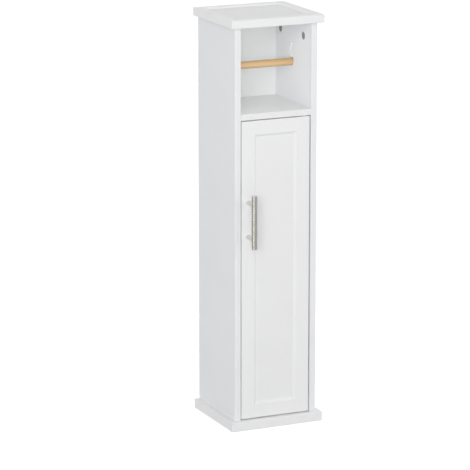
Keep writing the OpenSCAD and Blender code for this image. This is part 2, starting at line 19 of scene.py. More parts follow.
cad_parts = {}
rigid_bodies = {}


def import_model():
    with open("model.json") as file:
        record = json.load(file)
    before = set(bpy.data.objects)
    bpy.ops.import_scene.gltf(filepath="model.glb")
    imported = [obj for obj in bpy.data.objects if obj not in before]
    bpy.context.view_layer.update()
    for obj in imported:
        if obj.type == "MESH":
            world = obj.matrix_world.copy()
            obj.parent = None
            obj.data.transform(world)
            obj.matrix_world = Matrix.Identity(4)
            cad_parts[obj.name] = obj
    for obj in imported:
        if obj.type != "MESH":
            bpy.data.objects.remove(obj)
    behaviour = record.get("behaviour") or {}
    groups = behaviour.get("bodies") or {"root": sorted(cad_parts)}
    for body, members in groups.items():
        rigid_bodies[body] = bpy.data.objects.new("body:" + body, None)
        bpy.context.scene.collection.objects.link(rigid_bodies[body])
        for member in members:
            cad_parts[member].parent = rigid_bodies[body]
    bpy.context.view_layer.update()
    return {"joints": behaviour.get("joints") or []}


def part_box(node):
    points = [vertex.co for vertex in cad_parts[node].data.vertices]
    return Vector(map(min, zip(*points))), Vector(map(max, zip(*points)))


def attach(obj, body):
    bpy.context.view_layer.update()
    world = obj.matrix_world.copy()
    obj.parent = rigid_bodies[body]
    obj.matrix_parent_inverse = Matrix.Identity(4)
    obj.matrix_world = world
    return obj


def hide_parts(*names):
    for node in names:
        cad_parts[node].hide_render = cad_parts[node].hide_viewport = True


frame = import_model()
LOG = logging.getLogger("cabinet")

MM = 0.001
CUT = 0.2 * MM  # how far a cutter runs past the face that it opens
HOLE_PLAY = 0.1 * MM  # play on the radius between a fastener and its hole
HOLE_SPARE = 0.5 * MM  # depth of a blind hole past the end of what it holds
SHARP = 0.02 * MM  # radius of a corner that looks sharp
WELD = 1e-7  # points of a skin that lie closer than this are one point
EASED = "eased"  # point attribute: 1 on rounded edges, 0 on flats
TURN = "turn"  # rotation attribute of the points that copies are set out on
SIDES_PER_FLUTE = 6  # points round a peg for each of its flutes
SHANK_SIDES = 20  # points round a screw's shank
MIX_COLOURS = (6, 7)  # the Mix node's two inputs for colours
MIX_RESULT = 2  # the Mix node's output for colours

Point = tuple[float, float, float]
Colour = tuple[float, float, float]
Span = tuple[float, float]
Mesh = bpy.types.Mesh
Socket = bpy.types.NodeSocket
Solid = bmesh.types.BMesh


class Body(Enum):
    """The frame's rigid bodies."""

    CABINET = "cabinet"
    DOOR = "door"
    ROLL_BAR = "roll_bar"


class Slot(Enum):
    """The record's material slots."""

    BOARD = "white_board"
    BACK_BOARD = "white_back_board"
    HANDLE_STEEL = "handle_steel"
    SCREW_STEEL = "screw_steel"
    CAM_ZINC = "cam_zinc"
    NYLON = "white_nylon"
    FERRITE = "dark_ferrite"
    PALE_WOOD = "pale_wood"
    DOWEL_WOOD = "dowel_wood"


class Facing(Enum):
    """Which way a skinned solid grows: the row directions of its across, along and rising axes."""

    UP = ((1, 0, 0), (0, 1, 0), (0, 0, 1))
    DOWN = ((1, 0, 0), (0, -1, 0), (0, 0, -1))
    FRONT = ((1, 0, 0), (0, 0, 1), (0, -1, 0))
    BACK = ((-1, 0, 0), (0, 0, 1), (0, 1, 0))
    RIGHT = ((0, 1, 0), (0, 0, 1), (1, 0, 0))
    LEFT = ((0, -1, 0), (0, 0, 1), (-1, 0, 0))

    def at(self, origin: Sequence[float]) -> Matrix:
        """The matrix that takes a solid grown in its own axes to origin in the row frame."""
        turned_axes = Matrix([Vector(axis) for axis in self.value]).transposed()
        return Matrix.Translation(Vector(origin)) @ turned_axes.to_4x4()


class Side(Enum):
    """The cabinet's two sides, each with the sign of its x."""

    LEFT = -1
    RIGHT = 1

    @property
    def outward(self) -> Facing:
        """The way out of the cabinet on this side."""
        return Facing.LEFT if self is Side.LEFT else Facing.RIGHT


class End(Enum):
    """The door's two hinge ends."""

    UPPER = "upper"
    LOWER = "lower"

    @property
    def outward(self) -> Facing:
        """The way out of the door at this end."""
        return Facing.UP if self is End.UPPER else Facing.DOWN

    @property
    def inward(self) -> Facing:
        """The way into the door at this end."""
        return Facing.DOWN if self is End.UPPER else Facing.UP


# ---------------------------------------------------------------- profiles and skins


@dataclass(frozen=True)
class Corner:
    """A corner of a profile: its place across and up, and the radius that rounds it."""

    across: float
    height: float
    radius: float = 0.0


@dataclass(frozen=True)
class Station:
    """A point of a rounded profile, and whether it lies on a rounding."""

    across: float
    height: float
    eased: float


def cap(radius: float, height: float, share: float = 0.5) -> Corner:
    """The end of a turned profile: a ring inside a flat end, at a share of its radius."""
    return Corner(share * radius, height)


def rounded(corners: Sequence[Corner], steps: int = 4) -> list[Station]:
    """Rounds the corners of an open profile with arcs that touch both neighbouring sides.

    Args:
        corners: The profile's corners in order. The first and the last are never rounded.
        steps: Chords of each arc.

    Returns:
        The stations of the rounded profile.
    """
    stations = [Station(corners[0].across, corners[0].height, 0.0)]
    for before, corner, after in zip(corners, corners[1:], corners[2:]):
        here = Vector((corner.across, corner.height))
        if corner.radius <= 0:
            stations.append(Station(here.x, here.y, 0.0))
            continue
        back = (Vector((before.across, before.height)) - here).normalized()
        on = (Vector((after.across, after.height)) - here).normalized()
        half = back.angle(on) / 2
        middle = here + (back + on).normalized() * corner.radius / math.sin(half)
        start = here + back * corner.radius / math.tan(half) - middle
        end = here + on * corner.radius / math.tan(half) - middle
        sweep = start.angle_signed(end)
        for step in range(steps + 1):
            angle = -sweep * step / steps
            across = start.x * math.cos(angle) - start.y * math.sin(angle)
            height = start.x * math.sin(angle) + start.y * math.cos(angle)
            point = middle + Vector((across, height))
            stations.append(Station(point.x, point.y, 1.0))
    stations.append(Station(corners[-1].across, corners[-1].height, 0.0))
    return stations


def skin(rows: Sequence[Sequence[Vector]], eased: Sequence[float]) -> Solid:
    """Skins rows of points into a closed solid with a cap on its first and last row.

    Args:
        rows: Rows with as many points each, counter-clockwise about the rising axis.
        eased: For each row, 1 where it lies on a rounding and 0 elsewhere.

    Returns:
        The solid.
    """
    solid = bmesh.new()
    layer = solid.verts.layers.float.new(EASED)
    made = []
    for row, share in zip(rows, eased):
        verts = [solid.verts.new(point) for point in row]
        for vert in verts:
            vert[layer] = share
        made.append(verts)
    count = len(rows[0])
    for low, high in zip(made, made[1:]):
        for k in range(count):
            after = (k + 1) % count
            solid.faces.new((low[k], low[after], high[after], high[k]))
    solid.faces.new(list(reversed(made[0])))
    solid.faces.new(made[-1])
    bmesh.ops.remove_doubles(solid, verts=solid.verts[:], dist=WELD)
    return solid


def placed(solid: Solid, matrix: Matrix) -> Solid:
    """The same solid, moved by matrix."""
    solid.transform(matrix)
    return solid


def circle(sides: int) -> list[tuple[float, float]]:
    """The points of a circle of radius 1, counter-clockwise."""
    angles = [math.tau * k / sides for k in range(sides)]
    return [(math.cos(angle), math.sin(angle)) for angle in angles]


def turned(corners: Sequence[Corner], segments: int = 40, steps: int = 4) -> Solid:
    """A solid of revolution about its rising axis.

    Args:
        corners: The profile, with each corner's radius from the axis as its place across.
        segments: Points of each ring.
        steps: Chords of each rounding.

    Returns:
        The solid.
    """
    stations = rounded(corners, steps)
    rows = [[Vector((s.across * u, s.across * v, s.height)) for u, v in circle(segments)] for s in stations]
    return skin(rows, [s.eased for s in stations])


def eased_rod(radius: float, length: float, ease: float, segments: int) -> Solid:
    """A round rod that rises from height 0, with both ends eased.

    Args:
        radius: The rod's radius.
        length: The rod's length.
        ease: Radius that rounds the edges of its ends.
        segments: Points of each ring.

    Returns:
        The solid.
    """
    corners = [cap(radius, 0), Corner(radius, 0, ease), Corner(radius, length, ease), cap(radius, length)]
    return turned(corners, segments)


def rounded_rectangle(half_u: float, half_v: float, radius: float, steps: int) -> list[tuple[float, float]]:
    """The outline of a rectangle with round corners, counter-clockwise.

    Args:
        half_u: Half its width.
        half_v: Half its height.
        radius: Radius of its corners.
        steps: Chords of each corner.

    Returns:
        The points of the outline.
    """
    points = []
    for corner in range(4):
        side_u = 1 if corner in (0, 3) else -1
        side_v = 1 if corner < 2 else -1
        for step in range(steps + 1):
            angle = math.pi / 2 * (corner + step / steps)
            u = side_u * (half_u - radius) + radius * math.cos(angle)
            v = side_v * (half_v - radius) + radius * math.sin(angle)
            points.append((u, v))
    return points


@dataclass(frozen=True)
class Panel:
    """A board or block whose every cross-section is a rounded rectangle.

    A sunk field's mouth may lie inside its outline, at an inset and with corners of its own.
    """

    half_u: float
    half_v: float
    corner_r: float
    mouth_inset: float = 0.0
    mouth_corner_r: float = 0.0
    corner_steps: int = 4

    def corner_radius(self, inset: float) -> float:
        """Radius of the corners at an inset, parallel to the outline or to the nearer sunk mouth.

        Args:
            inset: Distance inside the panel's outline.

        Returns:
            The radius.
        """
        if self.mouth_inset and inset > self.mouth_inset / 2:
            radius = self.mouth_corner_r + self.mouth_inset - inset
        else:
            radius = self.corner_r - max(0.0, inset)
        return max(radius, SHARP)

    def build(self, corners: Sequence[Corner]) -> Solid:
        """Skins the panel over a profile.

        Args:
            corners: The profile, with each corner's inset from the panel's outline as its place across.

        Returns:
            The solid, growing from the profile's first height.
        """
        stations = rounded(corners)
        rows = []
        for s in stations:
            half_u, half_v = self.half_u - s.across, self.half_v - s.across
            outline = rounded_rectangle(half_u, half_v, self.corner_radius(s.across), self.corner_steps)
            rows.append([Vector((u, v, s.height)) for u, v in outline])
        return skin(rows, [s.eased for s in stations])

    def prism(self, length: float) -> Solid:
        """The panel as a straight prism with square ends."""
        return self.build([Corner(0, 0), Corner(0, length)])

    def eased_block(self, height: float, ease: float) -> Solid:
        """The panel as a block of that height with its upper and lower edges eased."""
        rims = (Corner(0, 0, ease), Corner(0, height, ease))
        return self.build([Corner(2 * ease, 0), *rims, Corner(2 * ease, height)])


def drill(radius: float, depth: float, countersink: float = 0.0) -> Solid:
    """A drill's cutter: it rises from just under its mouth at height 0 to its depth.

    Args:
        radius: The hole's radius.
        depth: The hole's depth.
        countersink: How far a 90 degree countersink widens the mouth.

    Returns:
        The cutter.
    """
    mouth = radius + countersink
    corners = [Corner(mouth + (CUT if countersink else 0), -CUT)]
    if countersink:
        corners.append(Corner(radius, countersink))
    corners.append(Corner(radius, depth))
    return turned(corners, segments=32)


def bored(radius: float, depth: float, facing: Facing, mouth: Sequence[float]) -> Solid:
    """A drill's cutter that runs from its mouth the way that it faces."""
    return placed(drill(radius, depth), facing.at(mouth))


def as_mesh(*solids: Solid) -> Mesh:
    """Writes solids into one mesh, and frees them.

    Args:
        solids: The solids.

    Returns:
        The mesh.
    """
    whole = bmesh.new()
    whole.verts.layers.float.new(EASED)
    for solid in solids:
        part = bpy.data.meshes.new("solid")
        solid.to_mesh(part)
        whole.from_mesh(part)
        solid.free()
        bpy.data.meshes.remove(part)
    mesh = bpy.data.meshes.new("solids")
    whole.to_mesh(mesh)
    whole.free()
    return mesh


def laid(solid: Solid, facing: Facing, origin: Sequence[float]) -> Mesh:
    """A solid as a mesh, laid at its place in the row frame."""
    return as_mesh(placed(solid, facing.at(origin)))


def carrier_of(mesh: Mesh) -> bpy.types.Object:
    """Puts a mesh in the scene while modifiers work on it.

    Args:
        mesh: The mesh.

    Returns:
        The passing object that carries it.
    """
    carrier = bpy.data.objects.new("carrier", mesh)
    bpy.context.scene.collection.objects.link(carrier)
    return carrier


def evaluated(carrier: bpy.types.Object) -> Mesh:
    """The plain mesh that a carrier's modifiers make of it.

    Args:
        carrier: The object with the modifiers. Its modifiers and the object itself are removed.

    Returns:
        The mesh.
    """
    graph = bpy.context.evaluated_depsgraph_get()
    mesh = bpy.data.meshes.new_from_object(carrier.evaluated_get(graph), depsgraph=graph)
    carrier.modifiers.clear()
    bpy.data.objects.remove(carrier)
    return mesh


def worked(mesh: Mesh, operation: str, *passes: Sequence[Solid]) -> Mesh:
    """Works on a mesh with solids, one Boolean modifier for each pass.

    Args:
        mesh: The mesh to work on.
        operation: DIFFERENCE or UNION.
        passes: Groups of solids. The solids of one group don't touch each other.

    Returns:
        The new mesh.
    """
    carrier = carrier_of(mesh)
    tools = []
    for number, solids in enumerate(passes):
        tool = carrier_of(as_mesh(*solids))
        tool.hide_render = True
        step = carrier.modifiers.new(f"pass_{number}", "BOOLEAN")
        step.operation = operation
        step.solver = "EXACT"
        step.object = tool
        tools.append(tool)
    whole = evaluated(carrier)
    for tool in tools:
        bpy.data.objects.remove(tool)
    return whole


def carved(mesh: Mesh, *passes: Sequence[Solid]) -> Mesh:
    """Cuts a mesh with groups of cutters. The cutters of one group don't touch each other."""
    return worked(mesh, "DIFFERENCE", *passes)


def joined(mesh: Mesh, *solids: Solid) -> Mesh:
    """Unites a mesh with solids that overlap it."""
    return worked(mesh, "UNION", solids)


def shaded(mesh: Mesh, sharp_from: float = 38.0) -> Mesh:
    """Smooths the roundings of a mesh and keeps its flats flat.

    Args:
        mesh: The mesh.
        sharp_from: Angle between faces, in degrees, from which their edge stays sharp.

    Returns:
        The shaded mesh.
    """
    mesh.polygons.foreach_set("use_smooth", [True] * len(mesh.polygons))
    mesh.set_sharp_from_angle(angle=math.radians(sharp_from))
    carrier = carrier_of(mesh)
    weigh = carrier.modifiers.new("weigh", "WEIGHTED_NORMAL")
    weigh.keep_sharp = True
    return evaluated(carrier)


# ---------------------------------------------------------------- node trees


class Graph:
    """A node tree under construction."""

    def __init__(self, tree: bpy.types.NodeTree) -> None:
        """Starts on an empty tree."""
        self.tree = tree
        tree.nodes.clear()

    def add(
        self, kind: str, inputs: Mapping[str | int, object] | None = None, **settings: object
    ) -> bpy.types.Node:
        """Adds a node.

        Args:
            kind: The node's type.
            inputs: For each input by name or number, a value or the socket that feeds it.
            settings: The node's own settings.

        Returns:
            The node.
        """
        node = self.tree.nodes.new(kind)
        for key, value in settings.items():
            setattr(node, key, value)
        for key, value in (inputs or {}).items():
            if isinstance(value, Socket):
                self.tree.links.new(value, node.inputs[key])
            else:
                node.inputs[key].default_value = value
        return node

    def math(self, operation: str, *values: object) -> Socket:
        """The result of a Math node on values or sockets."""
        return self.add("ShaderNodeMath", dict(enumerate(values)), operation=operation).outputs[0]

    def point(self, x: object = 0.0, y: object = 0.0, z: object = 0.0) -> Socket:
        """The point at those values or sockets."""
        return self.add("ShaderNodeCombineXYZ", {"X": x, "Y": y, "Z": z}).outputs[0]


@dataclass(frozen=True)
class Noise:
    """A noise: its scale per metre, its layers of detail and how rough they are."""

    scale: float
    detail: float = 2.0
    rough: float = 0.5


def tinted(colour: Colour, share: float) -> Colour:
    """A colour made lighter or darker by a share of itself."""
    return tuple(min(1.0, c * share) for c in colour)


class Surface(Graph):
    """The node tree of a material: a shader and what feeds it."""

    def __init__(self, tree: bpy.types.NodeTree) -> None:
        """Starts with the shader alone."""
        super().__init__(tree)
        self.shader = self.add("ShaderNodeBsdfPrincipled")
        self.add("ShaderNodeOutputMaterial", {"Surface": self.shader.outputs["BSDF"]})

    def place(self, scale: Point = (1, 1, 1)) -> Socket:
        """The point of the piece, in metres, stretched by scale."""
        where = self.add("ShaderNodeTexCoord").outputs["Object"]
        return self.add("ShaderNodeMapping", {"Vector": where, "Scale": scale}).outputs["Vector"]

    def axes(self) -> Sequence[Socket]:
        """The x, y and z of the point of the piece, in metres."""
        return self.add("ShaderNodeSeparateXYZ", {0: self.place()}).outputs

    def eased(self) -> Socket:
        """1 on the piece's rounded edges and 0 on its flats."""
        return self.add("ShaderNodeAttribute", attribute_name=EASED).outputs["Fac"]

    def within(self, place: Socket, middle: float, half: float) -> Socket:
        """1 where a coordinate lies within half of the middle, and 0 elsewhere."""
        return self.math("COMPARE", place, middle, half)

    def noise(self, place: Socket, noise: Noise) -> Socket:
        """The strength of a noise at a place, about 0.5 on average."""
        inputs = {"Vector": place, "Scale": noise.scale, "Detail": noise.detail, "Roughness": noise.rough}
        return self.add("ShaderNodeTexNoise", inputs).outputs["Fac"]

    def between(self, share: Socket, span: Span = (0, 1), over: Span = (0.3, 0.7)) -> Socket:
        """A number that goes through span while share goes through over."""
        inputs = {0: share, 1: over[0], 2: over[1], 3: span[0], 4: span[1]}
        return self.add("ShaderNodeMapRange", inputs).outputs[0]

    def about(self, share: Socket, value: float, spread: Span) -> Socket:
        """A number that strays from a value by spread, as share goes from low to high."""
        return self.between(share, (value + spread[0], value + spread[1]))

    def mixed(self, share: Socket, first: Socket | Colour, second: Socket | Colour) -> Socket:
        """Mixes two colours.

        Args:
            share: The second colour's share, from 0 to 1.
            first: The first colour, or the socket that gives it.
            second: The second colour, or the socket that gives it.

        Returns:
            The mixed colour.
        """
        inputs = {0: share}
        for number, colour in zip(MIX_COLOURS, (first, second)):
            inputs[number] = colour if isinstance(colour, Socket) else (*colour, 1)
        return self.add("ShaderNodeMix", inputs, data_type="RGBA").outputs[MIX_RESULT]

    def toned(self, share: Socket, colour: Colour, tints: Span) -> Socket:
        """A colour from its first tint to its second as share goes from 0 to 1."""
        return self.mixed(share, tinted(colour, tints[0]), tinted(colour, tints[1]))

    def feed(self, colour: Socket, roughness: Socket, height: Socket, strength: float, depth: float) -> None:
        """Feeds the shader.

        Args:
            colour: The surface's colour.
            roughness: Its roughness.
            height: The relief that makes it uneven.
            strength: How strongly the relief shows.
            depth: The relief's depth.
        """
        relief = {"Strength": strength, "Distance": depth, "Height": height}
        normal = self.add("ShaderNodeBump", relief).outputs["Normal"]
        for name, socket in {"Base Color": colour, "Roughness": roughness, "Normal": normal}.items():
            self.tree.links.new(socket, self.shader.inputs[name])

    def overlay(self, share: Socket, colour: Colour) -> None:
        """Lays a colour over the one that the shader has, where share is 1."""
        slot = self.shader.inputs["Base Color"]
        self.tree.links.new(self.mixed(share, slot.links[0].from_socket, colour), slot)


# ---------------------------------------------------------------- finishes


class Finish:
    """A surface finish, made as a material once and shared by its pieces."""

    name: str

    def material(self) -> bpy.types.Material:
        """Makes the finish's material, or finds it where it is made already.

        Returns:
            The material.
        """
        made = bpy.data.materials.get(self.name)
        if made is None:
            made = bpy.data.materials.new(self.name)
            made.use_nodes = True
            self.dress(Surface(made.node_tree))
        return made

    def dress(self, surface: Surface) -> None:
        """Feeds the surface's shader. Each finish has its own way.

        Args:
            surface: The material's tree.
        """
        raise NotImplementedError


@dataclass(frozen=True)
class PaintedBoard(Finish):
    """White lacquer, rolled on fibreboard: satin, faintly clouded, with a fine stipple."""

    name: str
    colour: Colour
    roughness: float = 0.42
    clouds: Noise = Noise(9.0)
    cloud_tints: Span = (0.988, 1.012)
    sheen: Noise = Noise(70.0, 3)
    sheen_spread: Span = (-0.04, 0.05)
    stipples: Noise = Noise(1100.0, 2, 0.6)
    stipple: float = 0.05
    stipple_depth: float = 0.1 * MM
    # painted highlight: how much lighter the rounded edges are drawn
    edge_highlight_tint: float = 1.035
    edge_highlight_share: float = 0.6
    edge_gloss: float = 0.06

    def dress(self, surface: Surface) -> None:
        """Feeds colour, roughness and stipple; rounded edges, and flats between two of them, carry a painted
        highlight that makes them a little lighter. They are also a little glossier.

        Args:
            surface: The material's tree.
        """
        place, edge = surface.place(), surface.eased()
        clouds = surface.between(surface.noise(place, self.clouds))
        flat = surface.toned(clouds, self.colour, self.cloud_tints)
        # painted highlight: rounded edges are mixed towards a lighter colour
        lit = surface.math("MULTIPLY", edge, self.edge_highlight_share)
        colour = surface.mixed(lit, flat, tinted(self.colour, self.edge_highlight_tint))
        sheen = surface.about(surface.noise(place, self.sheen), self.roughness, self.sheen_spread)
        roughness = surface.math("MULTIPLY_ADD", edge, -self.edge_gloss, sheen)
        grain = surface.noise(place, self.stipples)
        surface.feed(colour, roughness, grain, self.stipple, self.stipple_depth)


@dataclass(frozen=True)
class RoutedBoard(PaintedBoard):
    """Lacquer on a side panel, with painted shade: darker on the walls of the slot in its inner face."""

    face: float = 0.0
    slot_y: float = 0.0
    # painted shade: the tint of the slot's walls, as a share of the colour
    thin: float = 0.82
    reach: float = 1.5 * MM
    edge: float = 0.3 * MM
    half_width: float = 12.0 * MM

    def dress(self, surface: Surface) -> None:
        """Feeds the lacquer, and darkens it with painted shade between the face and the slot's floor.

        Args:
            surface: The material's tree.
        """
        super().dress(surface)
        x, y, _ = surface.axes()
        sunk = surface.within(surface.math("ABSOLUTE", x), self.face + self.reach, self.reach - self.edge)
        beside = surface.within(y, self.slot_y, self.half_width)
        # painted shade: the slot's walls are drawn darker than the face
        surface.overlay(surface.math("MULTIPLY", sunk, beside), tinted(self.colour, self.thin))


@dataclass(frozen=True)
class TrayBoard(PaintedBoard):
    """Lacquer on the tray top, with a painted highlight that lightens the tray's sloping walls."""

    half_x: float = 0.0
    half_y: float = 0.0
    floor_z: float = 0.0
    # painted highlight: how much lighter the tray's sloping walls are drawn
    wall_highlight_tint: float = 1.12
    edge: float = 0.2 * MM

    def dress(self, surface: Surface) -> None:
        """Feeds the lacquer, and lightens it inside the tray's mouth and above its floor, as a painted
        highlight.

        Args:
            surface: The material's tree.
        """
        super().dress(surface)
        x, y, z = surface.axes()
        across, along = surface.within(x, 0.0, self.half_x), surface.within(y, 0.0, self.half_y)
        above = surface.math("GREATER_THAN", z, self.floor_z + self.edge)
        walls = surface.math("MULTIPLY", surface.math("MULTIPLY", across, along), above)
        # painted highlight on the tray's sloping walls
        surface.overlay(walls, tinted(self.colour, self.wall_highlight_tint))


@dataclass(frozen=True)
class BrushedNickel(Finish):
    """Warm brushed nickel: fine lines round the piece and a soft satin sheen.

    A piece that has a half length stands upright, and its end faces are drawn lighter than its length.
    """

    name: str
    colour: Colour
    stretch: Point
    roughness: float = 0.3
    drawn_out: float = 0.0
    drawn_turn: float = 0.25
    middle_z: float = 0.0
    half_length: float = 0.0
    # tint of the end faces, which lifts a colour that holds painted shade back towards nickel's own tone
    unshaded_end_tint: float = 2.2
    face_edge: float = 0.2 * MM
    lines: Noise = Noise(1.0, 4, 0.65)
    line_tints: Span = (0.90, 1.08)
    line_spread: Span = (-0.07, 0.07)
    line_relief: float = 0.18
    line_depth: float = 0.02 * MM
    drift: Noise = Noise(60.0)
    drift_share: float = 0.06

    def dress(self, surface: Surface) -> None:
        """Feeds the brushing lines into colour, roughness and bump.

        Args:
            surface: The material's tree.
        """
        lines = surface.noise(surface.place(self.stretch), self.lines)
        colour = surface.toned(surface.between(lines), self.colour, self.line_tints)
        if self.half_length:
            _, _, z = surface.axes()
            # the length keeps the colour, which on the bar holds painted shade; the end faces are lighter
            length = surface.within(z, self.middle_z, self.half_length - self.face_edge)
            colour = surface.mixed(length, tinted(self.colour, self.unshaded_end_tint), colour)
        streaks = surface.about(lines, self.roughness, self.line_spread)
        drift = surface.noise(surface.place(), self.drift)
        roughness = surface.math("MULTIPLY_ADD", drift, self.drift_share, streaks)
        surface.feed(colour, roughness, lines, self.line_relief, self.line_depth)
        surface.shader.inputs["Metallic"].default_value = 1.0
        surface.shader.inputs["Anisotropic"].default_value = self.drawn_out
        surface.shader.inputs["Anisotropic Rotation"].default_value = self.drawn_turn


@dataclass(frozen=True)
class CastMetal(Finish):
    """Plated or die-cast metal with a fine-grained skin, and a painted highlight that lightens its rounded
    edges.
    """

    name: str
    colour: Colour
    metallic: float
    roughness: float
    stain: Noise = Noise(120.0, 3)
    stain_tints: Span = (0.86, 1.1)
    # painted highlight: how much lighter the rounded edges are drawn
    metal_highlight_tint: float = 1.35
    metal_highlight_share: float = 0.5
    grain: Noise = Noise(1500.0, 3)
    grain_spread: Span = (-0.06, 0.1)
    grain_relief: float = 0.12
    grain_depth: float = 0.03 * MM

    def dress(self, surface: Surface) -> None:
        """Feeds a grainy skin, and lightens the rounded edges as a painted highlight.

        Args:
            surface: The material's tree.
        """
        place = surface.place()
        stain = surface.between(surface.noise(place, self.stain))
        # painted highlight on the rounded edges
        edge_highlight = surface.math("MULTIPLY", surface.eased(), self.metal_highlight_share)
        body = surface.toned(stain, self.colour, self.stain_tints)
        colour = surface.mixed(edge_highlight, body, tinted(self.colour, self.metal_highlight_tint))
        grain = surface.noise(place, self.grain)
        roughness = surface.about(grain, self.roughness, self.grain_spread)
        surface.feed(colour, roughness, grain, self.grain_relief, self.grain_depth)
        surface.shader.inputs["Metallic"].default_value = self.metallic


@dataclass(frozen=True)
class PaleWood(Finish):
    """Pale close-grained wood: its fibres run the way that is stretched least."""

    name: str
    light: Colour
    dark: Colour
    stretch: Point
    roughness: float
    bands: Noise = Noise(0.35, 2, 0.4)
    band_edges: Span = (0.35, 0.65)
    band_tint: float = 1.12
    fibres: Noise = Noise(2.6, 4, 0.7)
    fibre_share: float = 0.55
    fibre_spread: Span = (-0.06, 0.1)
    fibre_relief: float = 0.15
    fibre_depth: float = 0.05 * MM
    flecks: Noise = Noise(5.5, 1)
    fleck_edges: Span = (0.66, 0.76)
    fleck_tint: float = 0.72
    fleck_share: float = 0.35

    def dress(self, surface: Surface) -> None:
        """Feeds broad bands, fine fibres and short dark flecks along the grain.

        Args:
            surface: The material's tree.
        """
        along = surface.place(self.stretch)
        bands = surface.between(surface.noise(along, self.bands), over=self.band_edges)
        broad = surface.mixed(bands, self.light, tinted(self.dark, self.band_tint))
        fibres = surface.noise(along, self.fibres)
        streaked = surface.mixed(surface.between(fibres, (0, self.fibre_share)), broad, self.dark)
        flecks = surface.between(surface.noise(along, self.flecks), over=self.fleck_edges)
        fleck = surface.math("MULTIPLY", flecks, self.fleck_share)
        colour = surface.mixed(fleck, streaked, tinted(self.dark, self.fleck_tint))
        roughness = surface.about(fibres, self.roughness, self.fibre_spread)
        surface.feed(colour, roughness, fibres, self.fibre_relief, self.fibre_depth)


@dataclass(frozen=True)
class MouldedPlastic(Finish):
    """Moulded plastic or pressed ferrite: matt, with a spark-eroded texture."""

    name: str
    colour: Colour
    roughness: float
    cloud: Noise = Noise(90.0)
    cloud_tints: Span = (0.95, 1.03)
    texture: Noise = Noise(900.0, 2, 0.6)
    texture_spread: Span = (-0.05, 0.08)
    texture_relief: float = 0.1
    texture_depth: float = 0.04 * MM

    def dress(self, surface: Surface) -> None:
        """Feeds a faint cloud in the colour and an even texture in the relief.

        Args:
            surface: The material's tree.
        """
        place = surface.place()
        cloud = surface.between(surface.noise(place, self.cloud))
        colour = surface.toned(cloud, self.colour, self.cloud_tints)
        texture = surface.noise(place, self.texture)
        roughness = surface.about(texture, self.roughness, self.texture_spread)
        surface.feed(colour, roughness, texture, self.texture_relief, self.texture_depth)


WHITE = (0.83, 0.832, 0.838)
LACQUER = PaintedBoard("white_lacquer", WHITE)
TRAY_LACQUER = TrayBoard("white_tray_lacquer", WHITE)
SIDE_LACQUER = RoutedBoard("white_side_lacquer", (0.82, 0.832, 0.846))
BACK_LACQUER = PaintedBoard("white_back_lacquer", (0.79, 0.803, 0.805), roughness=0.5, stipple=0.08)
# The bar's colour is darkened as painted shade, standing in for the dark surroundings in its reflection; its
# end faces are lightened back towards nickel's own tone.
BAR_NICKEL = BrushedNickel(
    "brushed_nickel_bar", (0.29, 0.281, 0.26), stretch=(90, 90, 9000), roughness=0.22, drawn_out=0.9
)
# The posts' colour is lightened a little as painted reflection of the white door around them.
POST_NICKEL = BrushedNickel("brushed_nickel_posts", (0.72, 0.71, 0.675), stretch=(90, 9000, 90))
ZINC_PLATE = CastMetal("bright_zinc_plate", (0.62, 0.62, 0.61), metallic=1.0, roughness=0.3)
CAM_ZINC = CastMetal("dark_cast_zinc", (0.36, 0.36, 0.37), metallic=0.7, roughness=0.5)
ROD_WOOD = PaleWood(
    "pale_rod_wood", (0.60, 0.43, 0.245), (0.47, 0.305, 0.145), stretch=(14, 420, 420), roughness=0.42
)
PEG_WOOD = PaleWood(
    "raw_peg_wood", (0.62, 0.46, 0.27), (0.47, 0.31, 0.15), stretch=(500, 500, 500), roughness=0.6
)
NYLON = MouldedPlastic("white_nylon", (0.80, 0.80, 0.78), roughness=0.4)
FERRITE = MouldedPlastic(
    "dark_ferrite", (0.045, 0.045, 0.05), roughness=0.7, texture=Noise(2200.0, 2, 0.6)
)


# ---------------------------------------------------------------- pieces


@dataclass(frozen=True)
class Box:
    """A box in the row frame."""

    low: Vector
    high: Vector

    @classmethod
    def of(cls, node: str) -> "Box":
        """The box of a frame node."""
        return cls(*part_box(node))

    @property
    def size(self) -> Vector:
        """The box's size."""
        return self.high - self.low

    @property
    def middle(self) -> Vector:
        """The box's middle."""
        return (self.low + self.high) / 2


def joint_of(body: Body) -> Mapping[str, object]:
    """The frame's joint that moves a body."""
    return next(joint for joint in frame["joints"] if joint["child"] == body.value)


def show(name: str, mesh: Mesh, body: Body, slot: Slot, finish: Finish, *nodes: str) -> None:
    """Puts a finished piece in the scene in place of its frame nodes, and reports it.

    Args:
        name: The piece's name.
        mesh: Its mesh, in the row frame.
        body: The body that it rides on.
        slot: The record's slot of its material; not used.
        finish: Its finish.
        nodes: The frame nodes that it stands for.
    """
    ready = shaded(mesh)
    ready.name = name
    ready.materials.clear()
    ready.materials.append(finish.material())
    piece = bpy.data.objects.new(name, ready)
    bpy.context.scene.collection.objects.link(piece)
    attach(piece, body.value)
    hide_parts(*nodes)
    LOG.info("%s: %d faces in %s, on %s", name, len(ready.polygons), finish.name, body.value)


# ---------------------------------------------------------------- pegs, screws and other copies


